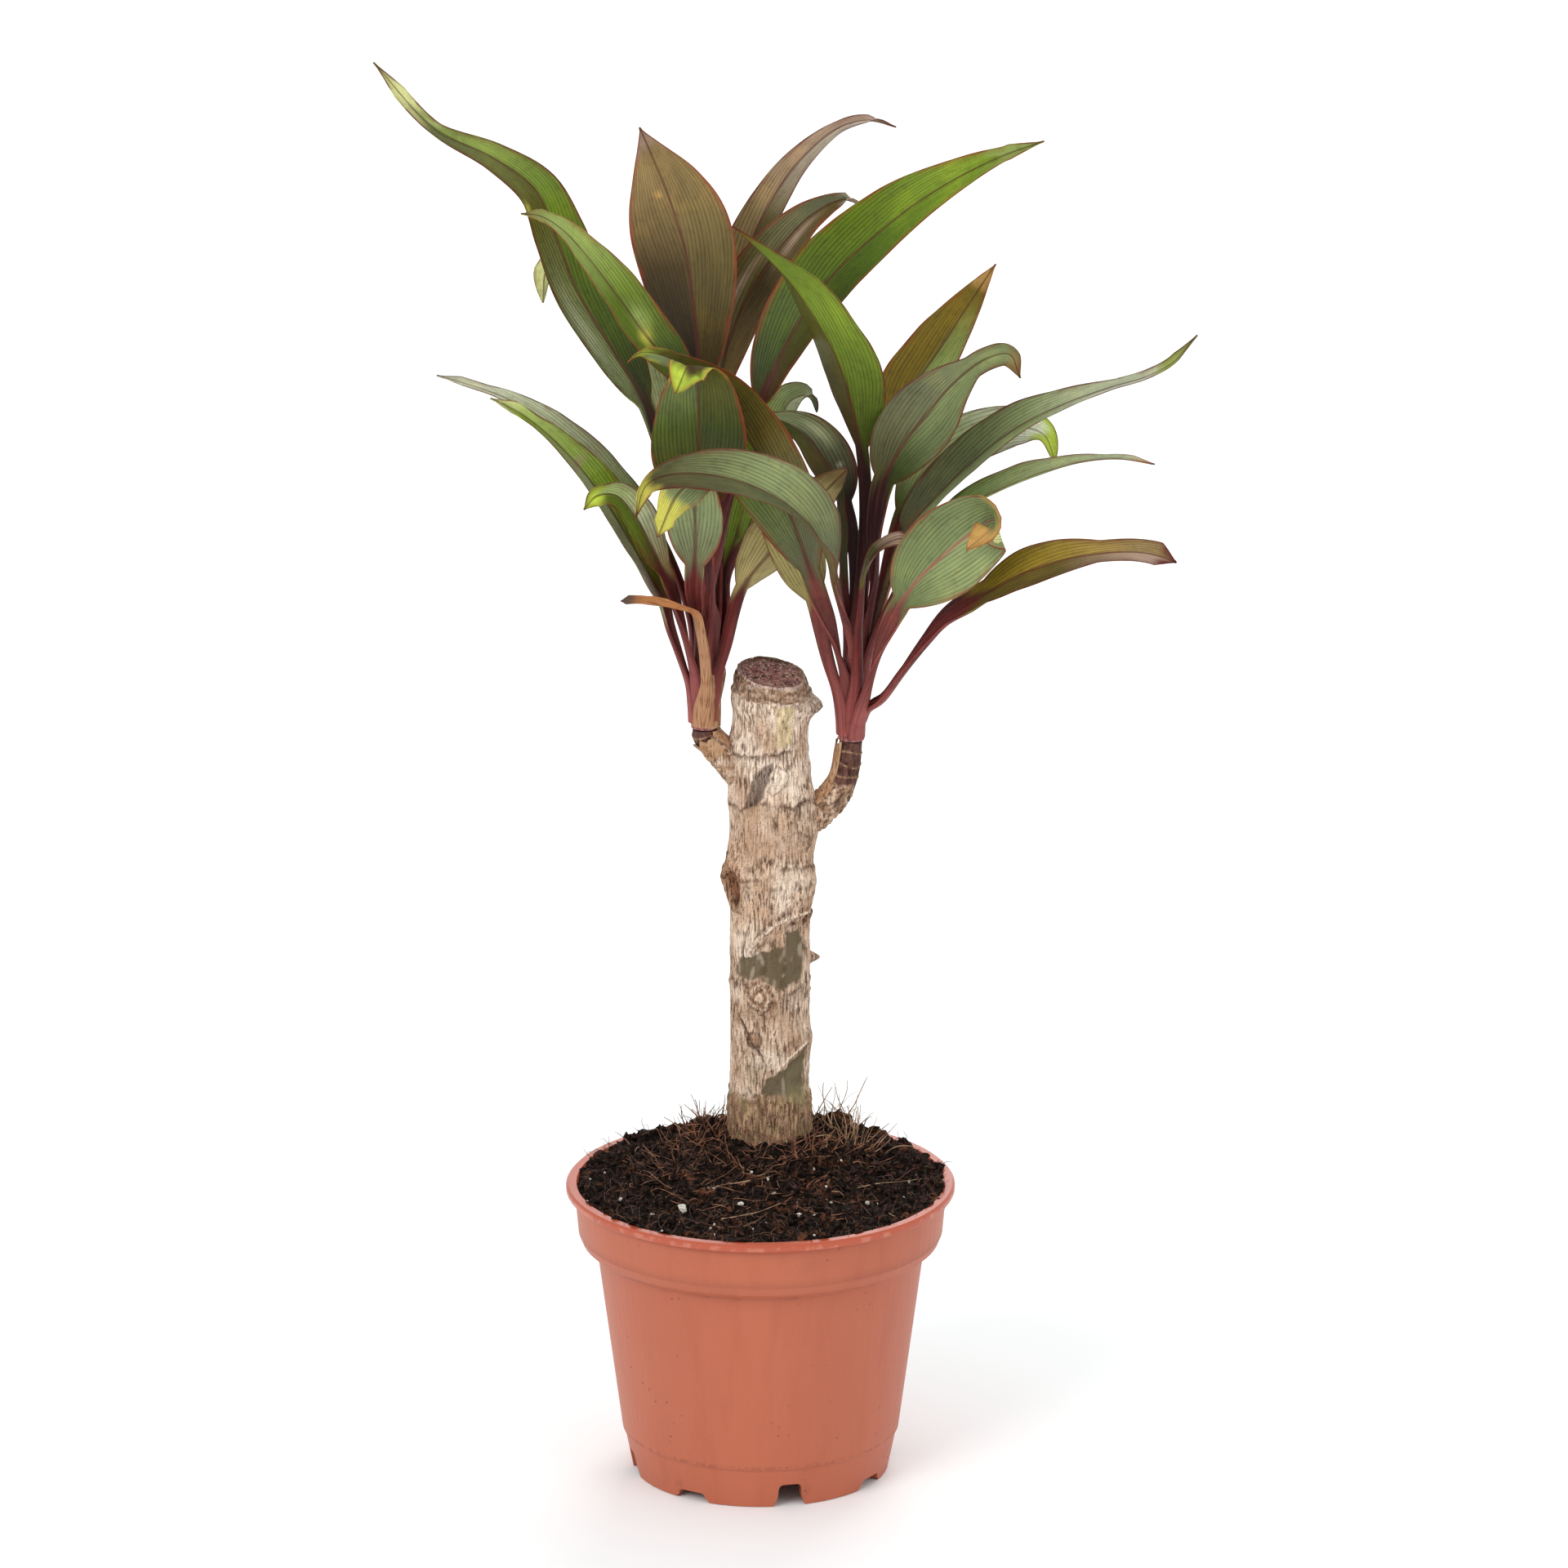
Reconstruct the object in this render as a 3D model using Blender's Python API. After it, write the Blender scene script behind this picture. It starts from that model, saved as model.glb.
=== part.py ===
"""A potted ti plant: a plastic nursery pot of soil, a sawn cane, and two leafy shoots on its side branches.

All sizes below are millimetres, in a frame with its origin at the middle of the pot's foot, +Z up and
-Y towards the front. The finished plant hangs from one empty, which puts the origin under the middle
of the whole plant's box and turns millimetres into Blender's metres.
"""

import math

import bmesh
import bpy
import numpy as np
from mathutils import Matrix

MM = 0.001
CLEARANCE = 0.35  # between neighbouring solids
SHARP_ANGLE = 40.0

POT_HEIGHT = 93.0
LIP_RADIUS = 60.4
BAND_RADIUS = 57.4
BAND_FOOT = 76.0
SHOULDER_RADIUS = 51.0
SHOULDER_FOOT = 72.5
RIDGE_RADIUS = 43.1
RIDGE_HEIGHT = 13.3
FOOT_RADIUS = 39.9
FOOT_RING_WIDTH = 2.6
POT_WALL = 1.5
POT_FLOOR_UNDERSIDE = 8.0
POT_FLOOR_TOP = 9.8
DRAIN_RADIUS = 4.0
DRAIN_CIRCLE = 25.0
DRAIN_COUNT = 8
DRAIN_SIDES = 12
NOTCH_START = -32.0  # degrees from the front towards +X
NOTCH_WIDTH = 12.0
NOTCH_REACH = 8.0
SHALLOW_NOTCH = (3.0, 9.0)  # height, and width across its top
DEEP_NOTCH = (7.5, 7.2)
CUT_SPARE = 2.0  # how far a cutting tool reaches past what it cuts
POT_SEGMENTS = 96

CANE_X = 2.6
CANE_Y = 20.0
CANE_TOP = 251.9
WORN_EDGE = 1.2  # how much narrower the sawn top is than the bark below it
CANE_RADIUS = 12.2
CANE_SEGMENTS = 20
CANE_LEAN = 0.006  # towards +X, for each millimetre above the pot's rim
CANE_LEAN_FROM = 100.0
CANE_LEVELS = [44.0, 70.0, 98.0, 104.0, 112.0, 120.0, 127.0, 133.0, 140.0, 147.0, 154.0, 161.0, 168.0, 175.0,
               180.0, 185.0, 190.0, 195.0, 201.0, 207.0, 213.0, 219.0, 223.0, 229.0, 235.0, 240.0, 244.0]
TOP_SLOPE_BACK = 0.16
TOP_SLOPE_RIGHT = -0.15
BURIED_BELOW = 100.0
BURIED_RADIUS = 13.6  # the most that the cane measures inside its hole in the soil
HOLE_RADIUS = 14.1

SOIL_EDGE = 91.0
SOIL_MOUND = 14.0
MOUND_SPREAD = 27.0
SOIL_RAYS = 36
SOIL_RINGS = 9
# Clumps of root and peat: where each lies, how far it spreads and how high it rises.
SOIL_CLUMPS = [
    (-17.0, 24.0, 7.0, 5.0),
    (24.0, 30.0, 8.0, 6.0),
    (20.0, 2.0, 9.0, 2.0),
    (-28.0, 2.0, 9.0, 1.5),
    (2.0, 47.0, 9.0, 3.0),
    (-6.0, -20.0, 10.0, 1.2),
    (40.0, -8.0, 9.0, 1.5),
]

# Swellings of the cane: height, direction in degrees (0 is +X, 270 the front), spread in height,
# spread in degrees, and how far each stands out.
CANE_KNOTS = [
    (104.0, 290.0, 9.0, 360.0, 0.5),
    (191.0, 205.0, 8.0, 28.0, 2.2),
    (184.0, 330.0, 8.0, 26.0, 2.2),
    (186.0, 270.0, 4.0, 200.0, 0.8),
    (166.0, 255.0, 9.0, 60.0, 0.7),
    (148.0, 262.0, 6.0, 22.0, 1.0),
    (133.0, 345.0, 5.0, 30.0, 1.0),
    (214.0, 160.0, 9.0, 45.0, 1.2),
    (227.0, 182.0, 7.0, 36.0, 1.5),
    (205.0, 350.0, 11.0, 40.0, 3.0),
    (241.0, 10.0, 3.6, 20.0, 4.2),
    (243.0, 200.0, 3.0, 360.0, 0.7),
    (222.0, 270.0, 2.5, 360.0, 0.5),
    (232.0, 100.0, 4.0, 60.0, 1.0),
    (150.0, 90.0, 10.0, 60.0, 1.2),
    (120.0, 130.0, 8.0, 40.0, 0.9),
]

# The two woody stubs that the cane has grown: the middle of each at several heights, with its radius there.
LEFT_STUB = [(-3.0, 20.0, 217.0), (-8.5, 19.5, 223.0), (-12.3, 19.0, 227.0), (-15.0, 18.5, 230.0),
             (-17.1, 18.0, 232.0), (-17.3, 18.0, 234.2)]
LEFT_STUB_RADII = [6.0, 5.6, 4.9, 4.3, 3.8, 3.6]
RIGHT_STUB = [(8.0, 20.0, 203.5), (15.5, 20.0, 206.0), (21.0, 20.0, 210.0), (24.6, 20.0, 215.0),
              (26.8, 20.0, 221.5), (28.0, 20.0, 230.0)]
RIGHT_STUB_RADII = [6.4, 5.8, 5.0, 4.4, 4.0, 3.5]
STUB_SIDES = 12

# The soft stem of each shoot stands on its stub and thins out inside the crown of leaf stalks.
LEFT_STEM = [(-17.3, 18.0, 234.8), (-17.0, 18.2, 245.0), (-16.4, 18.6, 256.0), (-15.8, 19.0, 266.0)]
RIGHT_STEM = [(28.0, 20.0, 230.5), (28.3, 20.0, 240.0), (28.8, 20.2, 250.0), (29.4, 20.4, 260.0)]
STEM_RADII = [3.4, 2.8, 1.9, 0.8]
STEM_SIDES = 10

# The leaf stalks stand in three rings where they leave the crown, each ring this far from its middle.
INNER = 3.3
MIDDLE = 6.3
OUTER = 9.6
CROWN_RISE = 3.0  # of those rings, above the top of the stem

BLADE_THICKNESS = 0.9
MARGIN_THICKNESS = 0.7
PETIOLE_THICKNESS = 1.3
PETIOLE_WIDTH = 4.8
ROOT_WIDTH = 2.2
TIP_WIDTH = 1.0
PETIOLE_FOLD = 26.0
POINTS_ACROSS = 5
PETIOLE_STATIONS = 5
BLADE_STATIONS = 12

# Each leaf, off the left or the right stem. ring: how far its stalk stands from the crown's middle, or 0
# where its own points lead it from the stem. up and around: how high on the stem it starts and on which
# side, in degrees, with 0 at +X and 270 at the front. path: its midrib, from stalk to tip. blade: which of
# those points is the blade's base. width: the blade's full width, widest and point: where along the blade
# that is and how blunt the tip is, base: how slim the blade starts. turn: how far the blade is turned
# about its midrib at base and tip. fold: how far its two halves rise. petiole: the stalk's width at root
# and blade.
LEFT_LEAVES = {
    "leaf_left_01": dict(
        ring=INNER, up=24, around=180, blade=1, width=21, turn=(-50, -62), fold=30, widest=0.3,
        point=1.5,
        path=[(-30, 22, 319), (-35.4, 24, 336), (-45.3, 27, 353), (-56.2, 30, 371),
              (-62.8, 30, 389), (-68.5, 28, 403), (-81, 24, 414), (-99, 20, 424.5), (-117, 16, 446)],
    ),
    "leaf_left_02": dict(
        ring=INNER, up=25, around=245, blade=1, width=20, turn=(-55, -50), fold=16, widest=0.36,
        path=[(-20, 13, 310), (-22, 10, 342), (-26, 8, 352), (-34, 6, 362), (-42, 4, 374), (-51, 2, 387),
              (-59, 0, 397), (-66, -4, 403), (-72, -8, 405)],
    ),
    "leaf_left_03": dict(
        ring=INNER, up=26, around=108, heading=90, blade=2, width=32, turn=(0, 0), fold=14, widest=0.57,
        base=0.6, point=1.15,
        path=[(-17, 25, 300), (-17, 27, 320), (-18, 31, 337), (-20, 34, 360), (-23, 40, 381),
              (-28.7, 46, 398), (-32.8, 49, 407.5), (-37, 51, 417)],
    ),
    "leaf_left_04": dict(
        ring=MIDDLE, up=14, around=285, heading=270, blade=0, width=30, turn=(180, 180), fold=14,
        widest=0.4, base=1.4, point=0.75,
        path=[(-17, -3, 308.6), (-18.5, -8, 327), (-18.5, -10, 343), (-19.3, -11.5, 355),
              (-21.5, -15, 359.2), (-25.5, -18, 351.4)],
    ),
    "leaf_left_05": dict(
        ring=MIDDLE, up=13, around=232, heading=265, blade=1, width=18, petiole=(2.2, 6.2),
        turn=(180, 180), fold=14,
        widest=0.4, point=0.85,
        path=[(-20.5, 2, 283), (-20, -4, 292), (-19.7, -10, 305), (-20, -15, 316), (-21, -20, 323),
              (-25, -23, 321), (-31, -24, 308)],
    ),
    "leaf_left_06": dict(
        ring=0, up=6, around=226, blade=2, width=14, petiole=(2.4, 6.4), turn=(-80, -80), fold=16,
        path=[(-20.8, 13.5, 253), (-23.8, 8.8, 268), (-29, 3, 287), (-33.5, -1, 299), (-39, -4, 310),
              (-44.5, -9, 317), (-50, -13, 317.6), (-53.5, -15, 314)],
    ),
    "leaf_left_07": dict(
        ring=MIDDLE, up=12, around=165, blade=0, width=14, turn=(-22, -20), fold=18, widest=0.4,
        point=1.3,
        path=[(-30, 18, 293), (-37, 20, 304), (-47, 20, 315.5), (-60, 18, 328), (-77, 14, 340.7),
              (-98.5, 10, 349.5)],
    ),
    "leaf_left_08": dict(
        ring=0, up=2, around=193, blade=3, width=17, petiole=(2.4, 5.6), turn=(-60, -50), fold=24,
        widest=0.35, point=1.1,
        path=[(-22.5, 17, 249), (-25.4, 15.5, 259), (-28.1, 13.5, 268), (-30, 10, 277), (-34, 6, 287),
              (-39.8, 4, 298.5), (-47.2, 2, 311.5), (-55, 1, 322.7), (-64, 0, 332.8), (-73, 0, 340.2),
              (-82, 0, 345)],
    ),
    "leaf_left_09": dict(
        ring=MIDDLE, up=14, around=118, blade=0, width=19, turn=(0, 10), fold=16, point=0.7,
        path=[(-28, 42, 314), (-38, 50, 341), (-52, 56, 363), (-62, 56, 372), (-66, 54, 371),
              (-67, 52, 361)],
    ),
    "leaf_left_10": dict(
        ring=MIDDLE, up=15, around=72, blade=2, width=15.5, turn=(-10, 10), fold=18, widest=0.33,
        base=0.7, point=1.1,
        path=[(-15.5, 36.5, 290), (-16, 44, 312), (-12.5, 54, 337), (-7, 65, 363.5), (0.2, 74, 381.5),
              (11.4, 80, 398), (24.5, 84, 408.5), (34, 84, 410.8), (42, 82, 409.3)],
    ),
    "leaf_left_11": dict(
        ring=INNER, up=23, around=40, blade=2, width=19, turn=(0, 20), fold=18,
        path=[(-12.5, 24, 285), (-12, 29, 306), (-13.5, 38, 328), (-11, 46, 345), (-4.5, 53, 361.5),
              (5.5, 57, 376.5), (16, 58, 387.5), (26, 56, 392.8), (33, 54, 390.5)],
    ),
    "leaf_left_12": dict(
        ring=INNER, up=25, around=318, blade=3, width=25.5, petiole=(2.2, 5.6), turn=(45, 48), fold=26,
        widest=0.36, point=1.0,
        path=[(-15, 15, 277), (-12, 13, 293), (-8, 12, 314), (0, 14, 338), (6, 19.5, 352.4),
              (13.5, 25, 364.8), (22.2, 25, 377), (34.2, 22, 389.4), (46.2, 18, 400.4),
              (58.8, 13, 410), (73, 9, 418.3), (86, 6, 424)],
    ),
    "leaf_left_13": dict(
        ring=OUTER, up=5, around=58, blade=0, width=19, turn=(0, 20), fold=16, point=0.55,
        path=[(-11, 31, 280), (-8, 33, 290), (-4, 35, 300), (0, 36, 310), (5, 36, 324), (9.5, 35, 334.5),
              (15, 33.5, 336.2), (17.5, 32.5, 331.5)],
    ),
    "leaf_left_14": dict(
        ring=0, up=3, around=305, blade=3, width=21, turn=(-62, -66), fold=18, point=0.8,
        path=[(-13, 14, 252), (-10, 10.5, 264), (-8, 9, 274), (-6, 9, 281), (-3, 10, 286), (4, 12, 294),
              (11, 13, 302), (19, 13, 311), (27, 11, 320)],
    ),
    "leaf_left_15": dict(
        ring=MIDDLE, up=10, around=22, blade=1, width=10, turn=(0, 0), fold=20,
        path=[(-10, 23.5, 281), (-6, 25, 291), (-3, 26, 298), (0, 27, 306), (4, 28, 314)],
    ),
    "leaf_left_dry": dict(
        ring=0, up=1, around=264, blade=3, width=6, petiole=(4.0, 5.4), turn=(0, 60), fold=10,
        path=[(-16.8, 8.5, 250), (-17.6, 6, 262), (-19, 4, 271), (-20, 2.5, 275.5), (-22.5, 1, 277.5),
              (-30, -1, 280), (-36.5, -4, 282), (-42.5, -6, 282.5)],
    ),
}

RIGHT_LEAVES = {
    "leaf_right_01": dict(
        ring=0, up=9, around=240, blade=3, width=26, petiole=(2.4, 6.6), turn=(-125, -125), fold=14,
        widest=0.45, point=1.6,
        path=[(25.4, 13, 252.5), (22, 8.5, 267), (19, 4, 278), (16.3, -1, 288), (12, -6, 302),
              (7.5, -7, 314), (1.5, -4, 325), (-5.5, -1, 336), (-13.5, -1, 348.5), (-25, -6, 358.4),
              (-36, -9, 362), (-40, -10, 359)],
    ),
    "leaf_right_02": dict(
        ring=0, up=15, around=272, blade=3, width=24, petiole=(2.2, 5.8), turn=(-66, -62), fold=34,
        widest=0.36, point=0.95,
        path=[(28.6, 8.5, 262), (26.2, 3, 271.5), (24.2, -3, 280.5), (22.3, -8.5, 289.5),
              (20.6, -14, 298), (15, -22, 311), (4, -28, 322), (-12, -31, 329), (-28, -33, 330),
              (-34.5, -34, 327), (-37.5, -36, 317.5)],
    ),
    "leaf_right_03": dict(
        ring=INNER, up=22, around=270, blade=2, width=28, turn=(-6, -30), fold=18, base=1.0,
        path=[(31.5, 17.5, 290), (32, 17, 305), (31, 15, 323), (28, 9, 340.5), (24, 1.2, 355.9),
              (18, -4.5, 369.5), (9, -4, 383), (0, -5, 393), (-8, -7, 401)],
    ),
    "leaf_right_04": dict(
        ring=MIDDLE, up=13, around=78, blade=1, width=22, turn=(0, 0), fold=16,
        path=[(33, 36, 285), (39, 52, 312), (45, 60, 328), (55, 68, 341), (64, 76, 353), (73, 80, 366)],
    ),
    "leaf_right_05": dict(
        ring=INNER, up=21, around=335, blade=4, width=23, petiole=(2.2, 7.5), turn=(95, 95), fold=14,
        widest=0.35, point=2.5,
        path=[(34.2, 17, 274), (35.5, 14, 284), (35.4, 11, 297), (36.2, 9, 307), (37.8, 7, 316),
              (43, 5, 328), (51, 4, 339), (59, 3, 349), (69, 1, 357.3), (76, -2, 359.3), (79, -6, 353)],
    ),
    "leaf_right_06": dict(
        ring=MIDDLE, up=14, around=18, blade=0, width=19, turn=(30, 30), fold=26, widest=0.3,
        base=0.5, point=2.0,
        path=[(45, 20, 296), (53, 19, 307), (64, 18, 318.7), (78, 16, 330.7), (93, 14, 339.2),
              (107, 12, 345), (118, 10, 349), (126, 8.5, 354), (133, 7, 363)],
    ),
    "leaf_right_07": dict(
        ring=OUTER, up=5, around=48, blade=0, width=17, turn=(35, 70), fold=16, point=0.55,
        path=[(43, 33, 297), (48, 38, 307), (56, 42, 315), (68, 44, 321), (80, 42, 324),
              (87.3, 39, 322.3), (90.5, 36, 315)],
    ),
    "leaf_right_08": dict(
        ring=MIDDLE, up=12, around=338, blade=0, width=18, turn=(20, 0), fold=16, widest=0.34,
        base=0.5, point=1.4,
        path=[(50, 9, 295), (60, 6, 306.8), (72, 3, 314.7), (84, 0, 320.7), (97, -3, 325.7),
              (109, -6, 327.7), (120, -8, 326.5)],
    ),
    "leaf_right_09": dict(
        ring=0, up=1, around=292, blade=4, width=27, petiole=(2.4, 6.8), turn=(110, 110), fold=12,
        widest=0.45, point=0.72,
        path=[(32, 13, 243), (34.3, 9, 253), (37, 3, 264.5), (39.8, -2.5, 273.7), (42.6, -7, 281),
              (48, -13, 291.2), (56, -18, 300.7), (64, -22, 308.7), (71, -26.5, 314.3), (71, -31, 313.7),
              (62.5, -35, 307)],
    ),
    "leaf_right_10": dict(
        ring=0, up=6, around=350, blade=4, width=15.5, petiole=(3.8, 9.0), turn=(58, 30), fold=16,
        widest=0.36, point=1.6,
        path=[(38, 12, 245.5), (43.8, 6, 255.7), (51, -2, 268), (57.5, -9, 278), (65.5, -16, 285.5),
              (79, -23, 295.7), (94, -28, 302.3), (109, -32, 305.5), (118, -34, 305.5), (126, -36, 303.5)],
    ),
    "leaf_right_11": dict(
        ring=INNER, up=23, around=100, blade=2, width=17.5, turn=(-30, -30), fold=26,
        path=[(29, 26, 282), (27.7, 28, 296), (26.3, 29, 302), (24, 30, 309.5), (19.3, 29, 318),
              (14, 28, 325.3), (7, 27, 330), (0, 26, 332)],
    ),
    "leaf_right_12": dict(
        ring=0, up=2, around=222, blade=3, width=16.5, turn=(50, 50), fold=16,
        path=[(23.5, 15, 246), (20.6, 14.5, 257), (18.6, 13.5, 267), (16.8, 11, 276), (14.5, 7, 284),
              (11, 3, 295), (6, 1, 304), (1, 3, 312), (-3, 4, 317)],
    ),
    "leaf_right_13": dict(
        ring=INNER, up=20, around=195, blade=0, width=6, turn=(0, 0), fold=24,
        path=[(25.2, 20.5, 281), (24.5, 20.5, 293), (24, 20.5, 306), (23, 19.5, 317)],
    ),
    "leaf_right_14": dict(
        ring=0, up=3, around=262, blade=4, width=6, turn=(60, 90), fold=24,
        path=[(29.8, 11, 251), (30.3, 6, 262), (30.5, 2.5, 270), (31, 0, 278), (31.5, -1.5, 287),
              (33, -3, 293), (36, -4, 298), (40, -4.5, 301), (44, -5, 302), (46, -5, 301)],
    ),
}


def clear_scene():
    for obj in list(bpy.data.objects):
        bpy.data.objects.remove(obj, do_unlink=True)


def material(name, colour, roughness):
    """A plain Principled material."""
    made = bpy.data.materials.new(name)
    made.use_nodes = True
    shader = made.node_tree.nodes["Principled BSDF"]
    shader.inputs["Base Color"].default_value = (*colour, 1.0)
    shader.inputs["Roughness"].default_value = roughness
    made.diffuse_color = (*colour, 1.0)
    return made


def solid(name, points, faces, look, plant):
    """One named object from points in millimetres."""
    mesh = bpy.data.meshes.new(name)
    mesh.from_pydata([tuple(point) for point in points], [], faces)
    mesh.materials.append(look)
    obj = bpy.data.objects.new(name, mesh)
    bpy.context.collection.objects.link(obj)
    obj.parent = plant
    soften(obj)
    return obj


def soften(obj):
    """Smooth shading, with sharp edges kept where two faces meet at a clear corner."""
    obj.data.shade_smooth()
    obj.data.set_sharp_from_angle(angle=math.radians(SHARP_ANGLE))


def ring_faces(first, second, closed=True):
    """Faces between two rows of as many points."""
    count = len(first)
    steps = range(count if closed else count - 1)
    return [(first[i], first[(i + 1) % count], second[(i + 1) % count], second[i]) for i in steps]


def turned(profile, segments):
    """A closed outline of (radius, height) turned about the Z axis."""
    points = []
    for radius, height in profile:
        for step in range(segments):
            angle = 2 * math.pi * step / segments
            points.append((radius * math.cos(angle), radius * math.sin(angle), height))
    rows = [list(range(i * segments, (i + 1) * segments)) for i in range(len(profile))]
    faces = []
    for row, following in zip(rows, rows[1:] + rows[:1]):
        faces += ring_faces(row, following)
    return points, faces


def apply_boolean(obj, operation, tools):
    """Cuts or joins a list of objects in one step, then removes them."""
    group = bpy.data.collections.new("tools")
    bpy.context.scene.collection.children.link(group)
    for tool in tools:
        group.objects.link(tool)
    step = obj.modifiers.new("join", "BOOLEAN")
    step.operation = operation
    step.operand_type = "COLLECTION"
    step.collection = group
    step.solver = "EXACT"
    bpy.context.view_layer.update()
    shape = bpy.data.meshes.new_from_object(obj.evaluated_get(bpy.context.evaluated_depsgraph_get()))
    obj.modifiers.remove(step)
    obj.data = shape
    for tool in tools:
        bpy.data.objects.remove(tool, do_unlink=True)
    bpy.data.collections.remove(group)


def pot_profile():
    """The pot's section, down the outside from the lip and up the inside."""
    inner_band = BAND_RADIUS - POT_WALL
    outside = [
        (LIP_RADIUS - 0.8, POT_HEIGHT),
        (LIP_RADIUS, POT_HEIGHT - 0.8),
        (LIP_RADIUS, POT_HEIGHT - 2.0),
        (LIP_RADIUS - 0.6, POT_HEIGHT - 2.6),
        (BAND_RADIUS + 0.3, POT_HEIGHT - 3.0),
        (BAND_RADIUS - 0.8, BAND_FOOT + 1.5),
        (BAND_RADIUS - 1.8, BAND_FOOT - 1.0),
        (BAND_RADIUS - 4.2, BAND_FOOT - 2.8),
        (SHOULDER_RADIUS, SHOULDER_FOOT),
        (RIDGE_RADIUS, RIDGE_HEIGHT),
        (FOOT_RADIUS + 2.5, RIDGE_HEIGHT - 1.0),
        (FOOT_RADIUS, 0.0),
    ]
    inside = [
        (FOOT_RADIUS - FOOT_RING_WIDTH, 0.0),
        (FOOT_RADIUS - 3.2, POT_FLOOR_UNDERSIDE),
        (DRAIN_RADIUS, POT_FLOOR_UNDERSIDE),
        (DRAIN_RADIUS, POT_FLOOR_TOP),
        (pot_inner_radius(POT_FLOOR_TOP), POT_FLOOR_TOP),
        (SHOULDER_RADIUS - POT_WALL, SHOULDER_FOOT),
        (inner_band - 2.2, BAND_FOOT - 1.0),
        (inner_band - 0.8, BAND_FOOT + 1.5),
        (inner_band + 0.3, POT_HEIGHT - 2.0),
        (inner_band + 1.3, POT_HEIGHT),
    ]
    return outside + inside


def pot_inner_radius(height):
    """The radius of the pot's inside at a height above its floor."""
    inner_band = BAND_RADIUS - POT_WALL
    heights = [RIDGE_HEIGHT, SHOULDER_FOOT, BAND_FOOT - 1.0, BAND_FOOT + 1.5, POT_HEIGHT - 2.0]
    radii = [RIDGE_RADIUS - POT_WALL, SHOULDER_RADIUS - POT_WALL]
    radii += [inner_band - 2.2, inner_band - 0.8, inner_band + 0.3]
    if height <= RIDGE_HEIGHT:
        slope = (radii[1] - radii[0]) / (heights[1] - heights[0])
        return radii[0] + slope * (height - heights[0])
    return float(np.interp(height, heights, radii))


def cutter(points, near_row, far_row):
    """A closed tool between two outlines of as many points, hidden from renders."""
    faces = ring_faces(near_row, far_row)
    faces += [tuple(reversed(near_row)), tuple(far_row)]
    tool = solid("cutter", points, faces, None, None)
    outward(tool)
    tool.hide_render = True
    tool.display_type = "WIRE"
    return tool


def notch_cutter(angle, height, top_width):
    """A radial wedge that cuts one drainage notch up into the foot ring."""
    rounding = [(1.28, 0.12), (1.06, 0.4), (1.0, 0.8), (0.86, 0.95), (0.6, 1.0)]
    right = [(NOTCH_WIDTH / 2, -CUT_SPARE)]
    right += [(top_width / 2 * across, height * up) for across, up in rounding]
    outline = right + [(-x, z) for x, z in reversed(right)]
    points = [(x, -FOOT_RADIUS + NOTCH_REACH, z) for x, z in outline]
    points += [(x, -FOOT_RADIUS - NOTCH_REACH, z) for x, z in outline]
    count = len(outline)
    tool = cutter(points, list(range(count)), list(range(count, 2 * count)))
    tool.matrix_world = Matrix.Rotation(math.radians(angle), 4, "Z")
    return tool


def drain_cutter(angle):
    """A round drain hole through the pot's floor."""
    x = DRAIN_CIRCLE * math.sin(math.radians(angle))
    y = -DRAIN_CIRCLE * math.cos(math.radians(angle))
    points = []
    for height in (POT_FLOOR_UNDERSIDE - CUT_SPARE, POT_FLOOR_TOP + CUT_SPARE):
        for step in range(DRAIN_SIDES):
            turn = 2 * math.pi * step / DRAIN_SIDES
            points.append((x + DRAIN_RADIUS * math.cos(turn), y + DRAIN_RADIUS * math.sin(turn), height))
    return cutter(points, list(range(DRAIN_SIDES)), list(range(DRAIN_SIDES, 2 * DRAIN_SIDES)))


def outward(obj):
    """Turns a closed mesh's faces outwards."""
    shape = bmesh.new()
    shape.from_mesh(obj.data)
    bmesh.ops.recalc_face_normals(shape, faces=shape.faces)
    shape.to_mesh(obj.data)
    shape.free()


def make_pot(look, plant):
    """The pot, with alternating shallow and deep notches in its foot and a drain hole behind each."""
    points, faces = turned(pot_profile(), POT_SEGMENTS)
    pot = solid("pot", points, faces, look, None)
    outward(pot)
    cutters = []
    for index in range(DRAIN_COUNT):
        angle = NOTCH_START + 360.0 * index / DRAIN_COUNT
        height, top_width = DEEP_NOTCH if index % 2 == 1 else SHALLOW_NOTCH
        cutters.append(notch_cutter(angle, height, top_width))
        cutters.append(drain_cutter(angle))
    apply_boolean(pot, "DIFFERENCE", cutters)
    soften(pot)
    pot.parent = plant


def soil_height(x, y):
    """The soil's surface: level at the rim, heaped round the cane, with clumps of root and peat."""
    from_cane = math.hypot(x - CANE_X, y - CANE_Y)
    height = SOIL_EDGE + SOIL_MOUND * math.exp(-((from_cane / MOUND_SPREAD) ** 2))
    for clump_x, clump_y, spread, rise in SOIL_CLUMPS:
        height += rise * math.exp(-(math.hypot(x - clump_x, y - clump_y) / spread) ** 2)
    height += 0.9 * math.sin(0.41 * x + 1.3) * math.cos(0.37 * y - 0.4)
    height += 0.6 * math.sin(0.83 * x - 0.71 * y + 0.5)
    return height


def wall_distance(direction, radius):
    """How far the pot's wall of a given radius is from the cane's axis in one direction."""
    along = CANE_X * direction[0] + CANE_Y * direction[1]
    return -along + math.sqrt(along**2 - CANE_X**2 - CANE_Y**2 + radius**2)


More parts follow.
